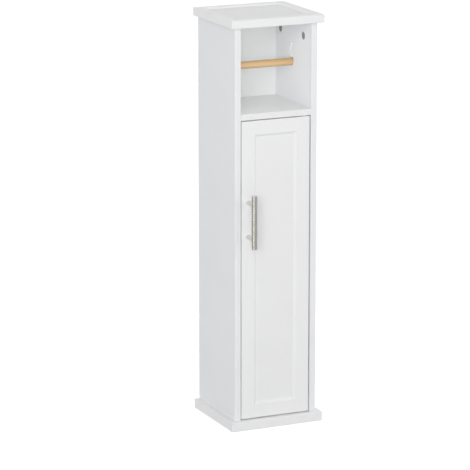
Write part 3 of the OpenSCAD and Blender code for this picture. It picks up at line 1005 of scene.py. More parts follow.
class CopyTree:
    """A Geometry Nodes tree that sets copies of a unit out on turned points."""

    def __init__(self, name: str) -> None:
        """Starts a tree with its points as input and its copies as output.

        Args:
            name: The tree's name.
        """
        group = bpy.data.node_groups.new(name, "GeometryNodeTree")
        self.graph = Graph(group)
        self.ids: dict[str, str] = {}
        group.interface.new_socket("Copies", in_out="OUTPUT", socket_type="NodeSocketGeometry")
        group.interface.new_socket("Points", in_out="INPUT", socket_type="NodeSocketGeometry")
        self.source = self.graph.add("NodeGroupInput")
        self.sink = self.graph.add("NodeGroupOutput")
        self.finish = self.input("Finish", "NodeSocketMaterial")

    def input(self, name: str, kind: str = "NodeSocketFloat") -> Socket:
        """Adds a named input to the tree.

        Args:
            name: The input's name.
            kind: The type of its socket.

        Returns:
            The socket that gives its value inside the tree.
        """
        made = self.graph.tree.interface.new_socket(name, in_out="INPUT", socket_type=kind)
        self.ids[name] = made.identifier
        return self.source.outputs[name]

    def close(self, unit: Socket) -> None:
        """Ends the tree: the unit is set out on the points, realized and given its finish.

        Args:
            unit: The geometry of the unit.
        """
        graph = self.graph
        turn = graph.add("GeometryNodeInputNamedAttribute", {"Name": TURN}, data_type="QUATERNION")
        copies = graph.add(
            "GeometryNodeInstanceOnPoints",
            {"Points": self.source.outputs["Points"], "Instance": unit, "Rotation": turn.outputs[0]},
        )
        real = graph.add("GeometryNodeRealizeInstances", {"Geometry": copies.outputs[0]})
        dressed = graph.add("GeometryNodeSetMaterial", {"Geometry": real.outputs[0], "Material": self.finish})
        graph.tree.links.new(dressed.outputs[0], self.sink.inputs["Copies"])

    def run(self, seats: Sequence[Matrix], finish: Finish, sizes: Mapping[str, object]) -> Mesh:
        """Runs the tree and turns its result into a plain mesh.

        Args:
            seats: Where each copy goes, as the matrix of its own axes.
            finish: The copies' finish.
            sizes: The tree's other inputs by name.

        Returns:
            The mesh of all the copies.
        """
        points = bpy.data.meshes.new("points")
        points.from_pydata([seat.translation for seat in seats], [], [])
        turn = points.attributes.new(TURN, "QUATERNION", "POINT")
        for item, seat in zip(turn.data, seats):
            item.value = seat.to_quaternion()
        carrier = carrier_of(points)
        step = carrier.modifiers.new("copies", "NODES")
        step.node_group = self.graph.tree
        step[self.ids["Finish"]] = finish.material()
        for key, value in sizes.items():
            step[self.ids[key]] = value
        carrier.update_tag()
        return evaluated(carrier)


class UnitTree(CopyTree):
    """Sets out a unit that was made as a mesh, such as a cam, a post or a plate."""

    def __init__(self) -> None:
        """Builds the tree."""
        super().__init__("set_out_units")
        unit = self.input("Unit", "NodeSocketObject")
        info = self.graph.add("GeometryNodeObjectInfo", {"Object": unit})
        self.close(info.outputs["Geometry"])

    def copies(self, unit: Mesh, seats: Sequence[Matrix], finish: Finish) -> Mesh:
        """Sets out copies of a unit.

        Args:
            unit: The unit's mesh.
            seats: Where each copy goes.
            finish: The copies' finish.

        Returns:
            The mesh of all the copies.
        """
        holder = carrier_of(unit)
        mesh = self.run(seats, finish, {"Unit": holder})
        bpy.data.objects.remove(holder)
        return mesh


class FlutedPegTree(CopyTree):
    """Sets out wooden pegs: round, chamfered at both ends and fluted all along."""

    def __init__(self) -> None:
        """Builds the tree: a fluted circle is swept along a line that thins towards its ends."""
        super().__init__("set_out_fluted_pegs")
        graph = self.graph
        radius, length, start = self.input("Radius"), self.input("Length"), self.input("Start")
        chamfer, flute_depth = self.input("Chamfer"), self.input("Flute Depth")
        flutes, rings = self.input("Flutes", "NodeSocketInt"), self.input("Rings", "NodeSocketInt")
        ends = {"Start": graph.point(z=start), "End": graph.point(z=graph.math("ADD", start, length))}
        line = graph.add("GeometryNodeCurvePrimitiveLine", ends)
        path = graph.add("GeometryNodeResampleCurve", {"Curve": line.outputs[0], "Count": rings})
        along = graph.add("GeometryNodeSplineParameter").outputs["Length"]
        nearest = graph.math("MINIMUM", along, graph.math("SUBTRACT", length, along))
        short = graph.math("MAXIMUM", graph.math("SUBTRACT", chamfer, nearest), 0.0)
        thick = graph.math("SUBTRACT", radius, short)
        sides = graph.math("MULTIPLY", flutes, SIDES_PER_FLUTE)
        ring = graph.add("GeometryNodeCurvePrimitiveCircle", {"Resolution": sides, "Radius": 1.0})
        index = graph.add("GeometryNodeInputIndex").outputs[0]
        phase = graph.math("MULTIPLY", index, math.tau / SIDES_PER_FLUTE)
        wave = graph.math("MULTIPLY_ADD", graph.math("COSINE", phase), 0.5, -0.5)
        dent = graph.math("MULTIPLY", wave, graph.math("DIVIDE", flute_depth, radius))
        spot = graph.add("GeometryNodeInputPosition").outputs[0]
        grown = {0: spot, "Scale": graph.math("ADD", dent, 1.0)}
        scaled = graph.add("ShaderNodeVectorMath", grown, operation="SCALE").outputs[0]
        profile = graph.add("GeometryNodeSetPosition", {"Geometry": ring.outputs[0], "Position": scaled})
        curves = {"Curve": path.outputs[0], "Profile Curve": profile.outputs[0]}
        swept = graph.add("GeometryNodeCurveToMesh", {**curves, "Scale": thick, "Fill Caps": True})
        self.close(swept.outputs[0])


class ScrewTree(CopyTree):
    """Sets out screws: a head that was made as a mesh, on a shank with a rolled thread."""

    def __init__(self) -> None:
        """Builds the tree: a cylinder's rings are pressed in along a helix, and the head is joined on."""
        super().__init__("set_out_screws")
        graph = self.graph
        head, rings = self.input("Head", "NodeSocketObject"), self.input("Rings", "NodeSocketInt")
        radius, length = self.input("Radius"), self.input("Length")
        pitch, thread_depth = self.input("Pitch"), self.input("Thread Depth")
        shank = graph.add(
            "GeometryNodeMeshCylinder",
            {"Vertices": SHANK_SIDES, "Side Segments": rings, "Radius": radius, "Depth": length},
        )
        sunk = graph.point(z=graph.math("MULTIPLY", length, -0.5))
        lowered = graph.add("GeometryNodeTransform", {"Geometry": shank.outputs[0], "Translation": sunk})
        spot = graph.add("GeometryNodeInputPosition").outputs[0]
        x, y, z = graph.add("ShaderNodeSeparateXYZ", {0: spot}).outputs
        angle = graph.math("DIVIDE", graph.math("ARCTAN2", y, x), math.tau)
        turns = graph.math("SUBTRACT", graph.math("DIVIDE", z, pitch), angle)
        ridge = graph.math("PINGPONG", turns, 0.5)
        share = graph.math("DIVIDE", graph.math("MULTIPLY", ridge, thread_depth), radius)
        slim = graph.math("MULTIPLY_ADD", share, -2.0, 1.0)
        wide = {0: spot, 1: graph.point(slim, slim, 1.0)}
        pressed = graph.add("ShaderNodeVectorMath", wide, operation="MULTIPLY").outputs[0]
        threaded = graph.add("GeometryNodeSetPosition", {"Geometry": lowered.outputs[0], "Position": pressed})
        info = graph.add("GeometryNodeObjectInfo", {"Object": head})
        whole = graph.add("GeometryNodeJoinGeometry", {"Geometry": threaded.outputs[0]})
        graph.tree.links.new(info.outputs["Geometry"], whole.inputs["Geometry"])
        self.close(whole.outputs[0])


def cross_recess(
    span: float, width: float, top: float, depth: float, taper: float = 0.3
) -> list[list[Solid]]:
    """The two cutters of a cross-shaped drive recess that narrows with its depth.

    Args:
        span: Length of each arm of the cross from tip to tip.
        width: Width of each arm.
        top: Height of the face that it opens.
        depth: Depth of the recess.
        taper: How far the arms lean in and how round their corners are, as a share of their width.

    Returns:
        Two passes of one cutter each.
    """
    passes = []
    lean = taper * width
    for quarter in range(2):
        cutter = Panel(span / 2, width / 2, lean).build([Corner(lean, 0), Corner(0, depth + CUT)])
        turn = Matrix.Rotation(math.pi / 2 * quarter + math.pi / 4, 4, "Z")
        passes.append([placed(cutter, Matrix.Translation((0, 0, top - depth)) @ turn)])
    return passes


@dataclass(frozen=True)
class Screw:
    """A screw's sizes. Its head rises from height 0 and its shank goes down.

    The corners of a domed head are shares of the head's radius and height.
    """

    radius: float
    grip: float
    head_radius: float
    head_height: float
    drive: float
    pitch: float = 0.7 * MM
    countersunk: bool = False
    rings_per_turn: int = 8
    thread_share: float = 0.16
    arm_share: float = 0.24
    recess_share: float = 0.6
    foot_share: float = 0.9
    flat_share: float = 0.8
    flat_ease: float = 0.1 * MM
    brim_ease: float = 0.25 * MM
    shoulder: Corner = Corner(0.96, 0.55, 0.5 * MM)
    crown: Corner = Corner(0.55, 1.0, 1.5 * MM)
    crown_share: float = 0.2

    @property
    def hole(self) -> float:
        """Radius of the hole that the screw goes through."""
        return self.radius + HOLE_PLAY

    def profile(self) -> list[Corner]:
        """The head's profile: a cone where it is countersunk, and a dome elsewhere.

        Returns:
            The profile's corners.
        """
        radius, height = self.head_radius, self.head_height
        foot = cap(self.radius, 0, self.foot_share)
        if self.countersunk:
            rim = Corner(radius, height, self.flat_ease)
            return [foot, Corner(self.radius, 0), rim, cap(radius, height, self.flat_share)]
        dome = [Corner(radius * c.across, height * c.height, c.radius) for c in (self.shoulder, self.crown)]
        return [foot, Corner(radius, 0, self.brim_ease), *dome, cap(radius, height, self.crown_share)]

    def head(self) -> Mesh:
        """The head with its cross recess.

        Returns:
            The head's mesh.
        """
        height = self.head_height
        recess = cross_recess(self.drive, self.arm_share * self.drive, height, self.recess_share * height)
        return carved(as_mesh(turned(self.profile())), *recess)

    def copies(self, tree: ScrewTree, seats: Sequence[Matrix], finish: Finish) -> Mesh:
        """Sets out screws of this size.

        Args:
            tree: The tree that sets them out.
            seats: Where the underside of each head goes.
            finish: The screws' finish.

        Returns:
            The mesh of all the screws.
        """
        holder = carrier_of(self.head())
        sizes = {
            "Head": holder,
            "Radius": self.radius,
            "Length": self.grip,
            "Pitch": self.pitch,
            "Thread Depth": self.thread_share * self.radius,
            "Rings": round(self.grip / self.pitch * self.rings_per_turn),
        }
        mesh = tree.run(seats, finish, sizes)
        bpy.data.objects.remove(holder)
        return mesh


# ---------------------------------------------------------------- flat-pack joints


@dataclass(frozen=True)
class Seat:
    """Where two boards meet: a point of the contact face, and which way the cam looks and lies."""

    place: Vector
    looks: Vector
    into: Vector

    def at(self, y: float) -> Matrix:
        """The joint's own axes at that depth: X the way the cam looks, Z into the cam's board."""
        turned_axes = Matrix([self.looks, self.into.cross(self.looks), self.into]).transposed()
        return Matrix.Translation((self.place.x, y, self.place.z)) @ turned_axes.to_4x4()


@dataclass
class FlatPackJoints:
    """Cam locks, cam bolts and wooden pegs where the boards meet."""

    cam_radius: float = 7.5 * MM
    cam_height: float = 9.3 * MM
    cam_setback: float = 29.5 * MM
    cam_ease: float = 0.35 * MM
    cam_cross: float = 8.6 * MM
    cam_cross_width: float = 1.5 * MM
    cam_cross_depth: float = 1.6 * MM
    mark_mouth: float = 0.9 * MM
    mark_tip: float = 0.5 * MM
    mark_depth: float = 0.4 * MM
    mark_share: float = 0.78
    throat_radius: float = 3.8 * MM
    bolt_radius: float = 3.0 * MM
    bolt_pitch: float = 1.6 * MM
    bolt_thread_depth: float = 0.5 * MM
    bolt_rings: int = 40
    bolt_in_face: float = 8.0 * MM
    bolt_collar_radius: float = 3.4 * MM
    bolt_collar_height: float = 1.2 * MM
    bolt_shank_radius: float = 2.5 * MM
    bolt_neck_radius: float = 1.8 * MM
    bolt_neck_length: float = 2.6 * MM
    bolt_head_radius: float = 3.2 * MM
    bolt_head_height: float = 2.8 * MM
    bolt_slope: float = 0.5 * MM
    bolt_ease: float = 0.2 * MM
    bolt_shoulder_ease: float = 0.4 * MM
    bolt_crown_ease: float = 0.7 * MM
    bolt_foot_share: float = 0.9
    bolt_top_share: float = 0.3
    peg_radius: float = 3.0 * MM
    peg_in_face: float = 8.0 * MM
    peg_in_end: float = 16.0 * MM
    peg_chamfer: float = 0.8 * MM
    peg_flutes: int = 12
    peg_flute_depth: float = 0.25 * MM
    peg_rings: int = 61

    def __post_init__(self) -> None:
        """Takes the joints' places from the frame."""
        cams, pegs, panel = Box.of("top_cam_locks"), Box.of("top_dowels"), Box.of("right_side_panel")
        self.cam_ys = [cams.low.y + self.cam_radius, cams.high.y - self.cam_radius]
        self.cam_sink = cams.high.x - self.cam_height - panel.low.x
        self.peg_ys = [pegs.low.y + self.peg_radius, pegs.high.y - self.peg_radius]
        self.board_half = panel.size.x / 2
        shelf_z = Box.of("middle_shelf").middle.z
        up = Vector((0, 0, 1))
        self.seats: dict[str, dict[Side, Seat]] = {"top": {}, "shelf": {}, "base": {}}
        for side in Side:
            inner_x, middle_x = side.value * panel.low.x, side.value * (panel.low.x + self.board_half)
            inward = Vector((-side.value, 0, 0))
            self.seats["top"][side] = Seat(Vector((middle_x, 0, panel.high.z)), inward, -up)
            self.seats["base"][side] = Seat(Vector((middle_x, 0, panel.low.z)), inward, up)
            self.seats["shelf"][side] = Seat(Vector((inner_x, 0, shelf_z)), -up, inward)

    def end_cuts(self, *seats: Seat) -> tuple[list[Solid], list[Solid]]:
        """The cutters in the boards that hold the cams.

        Args:
            seats: Where the boards meet others.

        Returns:
            The cam pockets, and then the bolt and peg holes.
        """
        pocket_depth = self.cam_sink + self.cam_height + HOLE_SPARE
        mouth = Facing.LEFT.at((self.board_half, 0, self.cam_setback))
        peg_depth = self.peg_in_end + HOLE_SPARE
        pockets, holes = [], []
        for seat in seats:
            for y in self.cam_ys:
                pockets.append(placed(drill(self.cam_radius + HOLE_PLAY, pocket_depth), seat.at(y) @ mouth))
                holes.append(placed(drill(self.bolt_collar_radius + HOLE_PLAY, self.cam_setback), seat.at(y)))
            for y in self.peg_ys:
                holes.append(placed(drill(self.peg_radius + HOLE_PLAY, peg_depth), seat.at(y)))
        return pockets, holes

    def face_cuts(self, *seats: Seat) -> list[Solid]:
        """The bolt and peg holes in the faces of the other boards.

        Args:
            seats: Where the boards meet those that hold the cams.

        Returns:
            The cutters.
        """
        down = Facing.DOWN.at((0, 0, 0))
        bolts = (self.cam_ys, self.bolt_radius + HOLE_PLAY, self.bolt_in_face + HOLE_SPARE)
        pegs = (self.peg_ys, self.peg_radius + HOLE_PLAY, self.peg_in_face + HOLE_SPARE)
        holes = []
        for seat in seats:
            for ys, radius, depth in (bolts, pegs):
                holes += [placed(drill(radius, depth), seat.at(y) @ down) for y in ys]
        return holes

    def cam(self) -> Mesh:
        """A cam lock: eased disc with a cross drive, an entry mark and the bolt's throat.

        Returns:
            The lock's mesh.
        """
        disc = Panel(self.cam_radius, self.cam_radius, self.cam_radius, corner_steps=12)
        face_x = self.board_half - self.cam_sink
        face = Facing.RIGHT.at((face_x - self.cam_height, 0, self.cam_setback))
        body = as_mesh(placed(disc.eased_block(self.cam_height, self.cam_ease), face))
        cross = cross_recess(self.cam_cross, self.cam_cross_width, self.cam_height, self.cam_cross_depth)
        crossed = [[placed(solid, face) for solid in step] for step in cross]
        mark = turned([Corner(self.mark_mouth, -CUT), Corner(self.mark_tip, self.mark_depth)], segments=3)
        entry = Facing.LEFT.at((face_x, 0, self.cam_setback - self.mark_share * self.cam_radius))
        throat = drill(self.throat_radius, self.cam_setback + self.bolt_head_height)
        return carved(body, *crossed, [placed(mark, entry)], [throat])

    def bolt_head(self) -> Mesh:
        """The part of a cam bolt over its thread: collar, shank, neck and head.

        Returns:
            The mesh of that part.
        """
        collar_r, shank_r, neck_r = self.bolt_collar_radius, self.bolt_shank_radius, self.bolt_neck_radius
        head_r, collar_top = self.bolt_head_radius, self.bolt_collar_height
        head_low = self.cam_setback - self.bolt_head_height / 2
        neck_low = head_low - self.bolt_neck_length
        head_top = head_low + self.bolt_head_height
        corners = [
            cap(self.bolt_radius, 0, self.bolt_foot_share),
            Corner(collar_r, 0, self.bolt_ease),
            Corner(collar_r, collar_top, self.bolt_ease),
            Corner(shank_r, collar_top),
            Corner(shank_r, neck_low, self.bolt_shoulder_ease),
            Corner(neck_r, neck_low + self.bolt_slope, self.bolt_ease),
            Corner(neck_r, head_low, self.bolt_ease),
            Corner(head_r, head_low + self.bolt_slope, self.bolt_shoulder_ease),
            Corner(head_r, head_top, self.bolt_crown_ease),
            cap(head_r, head_top, self.bolt_top_share),
        ]
        return as_mesh(turned(corners, segments=28, steps=3))

    def build(self, units: UnitTree, pegs: FlutedPegTree, screws: ScrewTree) -> None:
        """Sets out and shows the cams, bolts and pegs of the three rows of joints.

        Args:
            units: The tree that sets out the cams.
            pegs: The tree that sets out the pegs.
            screws: The tree that sets out the bolts.
        """
        cam, bolt_holder = self.cam(), carrier_of(self.bolt_head())
        bolt_sizes = {
            "Head": bolt_holder,
            "Radius": self.bolt_radius,
            "Length": self.bolt_in_face,
            "Pitch": self.bolt_pitch,
            "Thread Depth": self.bolt_thread_depth,
            "Rings": self.bolt_rings,
        }
        peg_sizes = {
            "Radius": self.peg_radius,
            "Length": self.peg_in_face + self.peg_in_end,
            "Start": -self.peg_in_face,
            "Chamfer": self.peg_chamfer,
            "Flutes": self.peg_flutes,
            "Flute Depth": self.peg_flute_depth,
            "Rings": self.peg_rings,
        }
        for row, seats in self.seats.items():
            at_cams = [seat.at(y) for seat in seats.values() for y in self.cam_ys]
            at_pegs = [seat.at(y) for seat in seats.values() for y in self.peg_ys]
            cams = units.copies(cam, at_cams, CAM_ZINC)
            show(f"{row}_cams", cams, Body.CABINET, Slot.CAM_ZINC, CAM_ZINC, f"{row}_cam_locks")
            bolts = screws.run(at_cams, ZINC_PLATE, bolt_sizes)
            show(f"{row}_bolts", bolts, Body.CABINET, Slot.SCREW_STEEL, ZINC_PLATE, f"{row}_cam_bolts")
            rods = pegs.run(at_pegs, PEG_WOOD, peg_sizes)
            show(f"{row}_pegs", rods, Body.CABINET, Slot.DOWEL_WOOD, PEG_WOOD, f"{row}_dowels")
        bpy.data.objects.remove(bolt_holder)


# ---------------------------------------------------------------- roll bar


@dataclass
class RollRod:
    """The wooden rod that carries the roll, and the slots in which it lifts."""

    radius: float = 7.0 * MM
    end_ease: float = 0.8 * MM
    slot_clearance: float = 0.6 * MM
    rest_gap: float = 0.3 * MM
    release_clearance: float = 0.3 * MM

    def __post_init__(self) -> None:
        """Takes the rod's place and lift from the frame."""
        self.box = Box.of("roll_bar")
        self.middle = self.box.middle
        self.lift = joint_of(Body.ROLL_BAR)["range_m"][1]
        self.slot_radius = self.radius + self.slot_clearance
        self.slot_depth = self.box.high.x + self.rest_gap - Box.of("right_side_panel").low.x

    def slot_cutter(self, face_x: float, side: Side) -> Solid:
        """The upright round-ended slot in a side panel.

        Args:
            face_x: Where the panel's inner face is.
            side: The panel's side.

        Returns:
            The cutter.
        """
        bottom = self.middle.z - self.radius - self.rest_gap
        top = self.middle.z + self.lift + self.radius + self.rest_gap
        slot = Panel(self.slot_radius, (top - bottom) / 2, self.slot_radius, corner_steps=10)
        mouth = side.outward.at((face_x - side.value * CUT, self.middle.y, (bottom + top) / 2))
        return placed(slot.prism(self.slot_depth + CUT), mouth)

    def release_cutter(self, face_x: float) -> Solid:
        """The deeper pocket at the top of the right slot, where the rod slips sideways and out.

        Args:
            face_x: Where the panel's inner face is.

        Returns:
            The cutter.
        """
        depth = 2 * self.slot_depth - self.rest_gap + self.release_clearance
        top_z = self.middle.z + self.lift + self.rest_gap - self.slot_clearance
        return bored(self.slot_radius, depth, Facing.RIGHT, (face_x, self.middle.y, top_z))

    def build(self) -> None:
        """Shows the rod."""
        rod = eased_rod(self.radius, self.box.size.x, self.end_ease, segments=64)
        mesh = laid(rod, Facing.RIGHT, (self.box.low.x, self.middle.y, self.middle.z))
        show("roll_rod", mesh, Body.ROLL_BAR, Slot.PALE_WOOD, ROD_WOOD, "roll_bar")


# ---------------------------------------------------------------- pivot hinge


@dataclass
class PivotHinge:
    """Collared steel pins in the door's edges, and the nylon bushes that they turn in."""

    pin_radius: float = 2.5 * MM
    pin_in_door: float = 20.0 * MM
    pin_in_bush: float = 6.0 * MM
    pin_clearance: float = 0.05 * MM
    bush_radius: float = 4.0 * MM
    bush_floor: float = 1.5 * MM
    collar_radius: float = 4.5 * MM
    collar_gap: float = 0.3 * MM
    tip_ease: float = 0.5 * MM
    tip_share: float = 0.4
    mouth_ease: float = 0.2 * MM
    rim_ease: float = 0.3 * MM

    def __post_init__(self) -> None:
        """Takes the pivot line and the door's gaps from the frame."""
        self.x, self.y = joint_of(Body.DOOR)["pos_m"][:2]
        door, shelf, base = Box.of("door_panel"), Box.of("middle_shelf"), Box.of("base_panel")
        self.edges = {End.UPPER: door.high.z, End.LOWER: door.low.z}
        self.faces = {End.UPPER: shelf.low.z, End.LOWER: base.high.z}
        self.bush_length = self.pin_in_bush + HOLE_SPARE + self.bush_floor

    def bush_seat(self, end: End) -> Solid:
        """The cutter of a bush's seat in the shelf or in the base panel."""
        return bored(self.bush_radius, self.bush_length, end.outward, (self.x, self.y, self.faces[end]))

    def pin_hole(self, end: End) -> Solid:
        """The cutter of a pin's hole in the door's edge."""
        mouth = (self.x, self.y, self.edges[end])
        return bored(self.pin_radius, self.pin_in_door + HOLE_SPARE, end.inward, mouth)

    def pin(self, gap: float) -> Solid:
        """A pin that rises from the door's edge, with its collar in the gap.

        Args:
            gap: The gap between the door's edge and the board over it.

        Returns:
            The pin.
        """
        radius, collar_top, tip = self.pin_radius, gap - self.collar_gap, gap + self.pin_in_bush
        return turned(
            [
                cap(radius, -self.pin_in_door, self.tip_share),
                Corner(radius, -self.pin_in_door, self.tip_ease),
                Corner(radius, 0),
                Corner(self.collar_radius, 0, self.mouth_ease),
                Corner(self.collar_radius, collar_top, self.rim_ease),
                Corner(radius, collar_top),
                Corner(radius, tip, self.tip_ease),
                cap(radius, tip, self.tip_share),
            ]
        )

    def bush(self) -> Solid:
        """A bush that rises from its mouth, with the pin's blind bore.

        Returns:
            The bush.
        """
        bore, bore_top = self.pin_radius + self.pin_clearance, self.pin_in_bush + HOLE_SPARE
        return turned(
            [
                cap(bore, bore_top),
                Corner(bore, bore_top),
                Corner(bore, 0, self.mouth_ease),
                Corner(self.bush_radius, 0, self.mouth_ease),
                Corner(self.bush_radius, self.bush_length, self.rim_ease),
                cap(self.bush_radius, self.bush_length),
            ]
        )

    def build(self) -> None:
        """Shows both pins and both bushes."""
        for end in End:
            name, edge, face = end.value, self.edges[end], self.faces[end]
            pin = laid(self.pin(abs(face - edge)), end.outward, (self.x, self.y, edge))
            show(f"{name}_pivot_pin", pin, Body.DOOR, Slot.SCREW_STEEL, ZINC_PLATE, f"{name}_hinge_pin")
            bush = laid(self.bush(), end.outward, (self.x, self.y, face))
            show(f"{name}_pivot_bush", bush, Body.CABINET, Slot.NYLON, NYLON, f"{name}_hinge_bush")


# ---------------------------------------------------------------- handle


@dataclass
class BarHandle:
    """An upright brushed bar on two saddled posts, screwed on through the door."""

    bar_radius: float = 5.0 * MM
    bar_ease: float = 0.6 * MM
    post_radius: float = 4.0 * MM
    post_ease: float = 0.3 * MM
    post_bend: float = 0.3  # where the one bend of the foot's easing lies, as a share of post_ease
    stud_radius: float = 2.0 * MM
    stud_length: float = 4.0 * MM
    screw: Screw = Screw(
        radius=2.0 * MM, grip=22.0 * MM, head_radius=4.25 * MM, head_height=2.4 * MM, drive=3.9 * MM
    )
    screw_grip: float = 10.0 * MM

    def __post_init__(self) -> None:
        """Takes the handle's place from the frame."""
        self.bar, posts, door = Box.of("handle_bar"), Box.of("handle_posts"), Box.of("door_panel")
        self.x = self.bar.middle.x
        self.face_y, self.back_y = door.low.y, door.high.y
        self.axis_y = self.bar.high.y - self.bar_radius
        self.post_zs = [posts.low.z + self.post_radius, posts.high.z - self.post_radius]
        self.reach = self.face_y - self.axis_y

    def door_cuts(self) -> list[Solid]:
        """The cutters of the two screw holes right through the door."""
        depth = self.back_y - self.face_y + CUT
        return [bored(self.screw.hole, depth, Facing.BACK, (self.x, self.face_y, z)) for z in self.post_zs]

    def saddle(self, across: float) -> float:
        """Height over the door of the bar's near side, at that distance beside the bar's axis."""
        return self.reach - math.sqrt(self.bar_radius**2 - across**2)

    def post(self, segments: int = 36) -> Mesh:
        """A post that rises from the door: bored for its screw, saddled to the bar, with a stud.

        Args:
            segments: Points of each ring.

        Returns:
            The post.
        """
        bore, bore_top = self.screw.hole, self.screw_grip + HOLE_SPARE
        radius, stud, bend = self.post_radius, self.stud_radius, self.post_bend * self.post_ease
        stations = [
            Station(bore / 2, bore_top, 0.0),
            Station(bore, bore_top, 0.0),
            Station(bore, 0.0, 0.0),
            Station(radius - self.post_ease, 0.0, 1.0),
            Station(radius - bend, bend, 1.0),
            Station(radius, self.post_ease, 1.0),
        ]
        ring = circle(segments)
        rows = [[Vector((s.across * u, s.across * v, s.height)) for u, v in ring] for s in stations]
        rows += [[Vector((r * u, r * v, self.saddle(r * u))) for u, v in ring] for r in (radius, stud)]
        stud_top = self.saddle(stud) + self.stud_length
        rows.append([Vector((stud * u, stud * v, stud_top)) for u, v in ring])
        eased = [s.eased for s in stations]
        eased += [0.0] * (len(rows) - len(eased))
        return as_mesh(skin(rows, eased))

    def grip(self) -> Mesh:
        """The bar, drilled for the posts' studs.

        Returns:
            The bar's mesh.
        """
        rod = eased_rod(self.bar_radius, self.bar.size.z, self.bar_ease, segments=56)
        depth = self.stud_length + self.saddle(self.stud_radius) - self.saddle(0) + HOLE_SPARE
        hole, near_y = self.stud_radius + HOLE_PLAY, self.axis_y + self.bar_radius
        stud_holes = [bored(hole, depth, Facing.FRONT, (self.x, near_y, z)) for z in self.post_zs]
        return carved(laid(rod, Facing.UP, (self.x, self.axis_y, self.bar.low.z)), stud_holes)

    def build(self, units: UnitTree, screws: ScrewTree) -> None:
        """Shows the bar, its posts and its screws.

        Args:
            units: The tree that sets out the posts.
            screws: The tree that sets out the screws.
        """
        finish = replace(BAR_NICKEL, middle_z=self.bar.middle.z, half_length=self.bar.size.z / 2)
        show("grip_bar", self.grip(), Body.DOOR, Slot.HANDLE_STEEL, finish, "handle_bar")
        on_face = [Facing.FRONT.at((self.x, self.face_y, z)) for z in self.post_zs]
        posts = units.copies(self.post(), on_face, POST_NICKEL)
        show("grip_posts", posts, Body.DOOR, Slot.HANDLE_STEEL, POST_NICKEL, "handle_posts")
        on_back = [Facing.BACK.at((self.x, self.back_y, z)) for z in self.post_zs]
        fixings = self.screw.copies(screws, on_back, ZINC_PLATE)
        show("grip_screws", fixings, Body.DOOR, Slot.SCREW_STEEL, ZINC_PLATE, "handle_screws")


# ---------------------------------------------------------------- magnetic catch


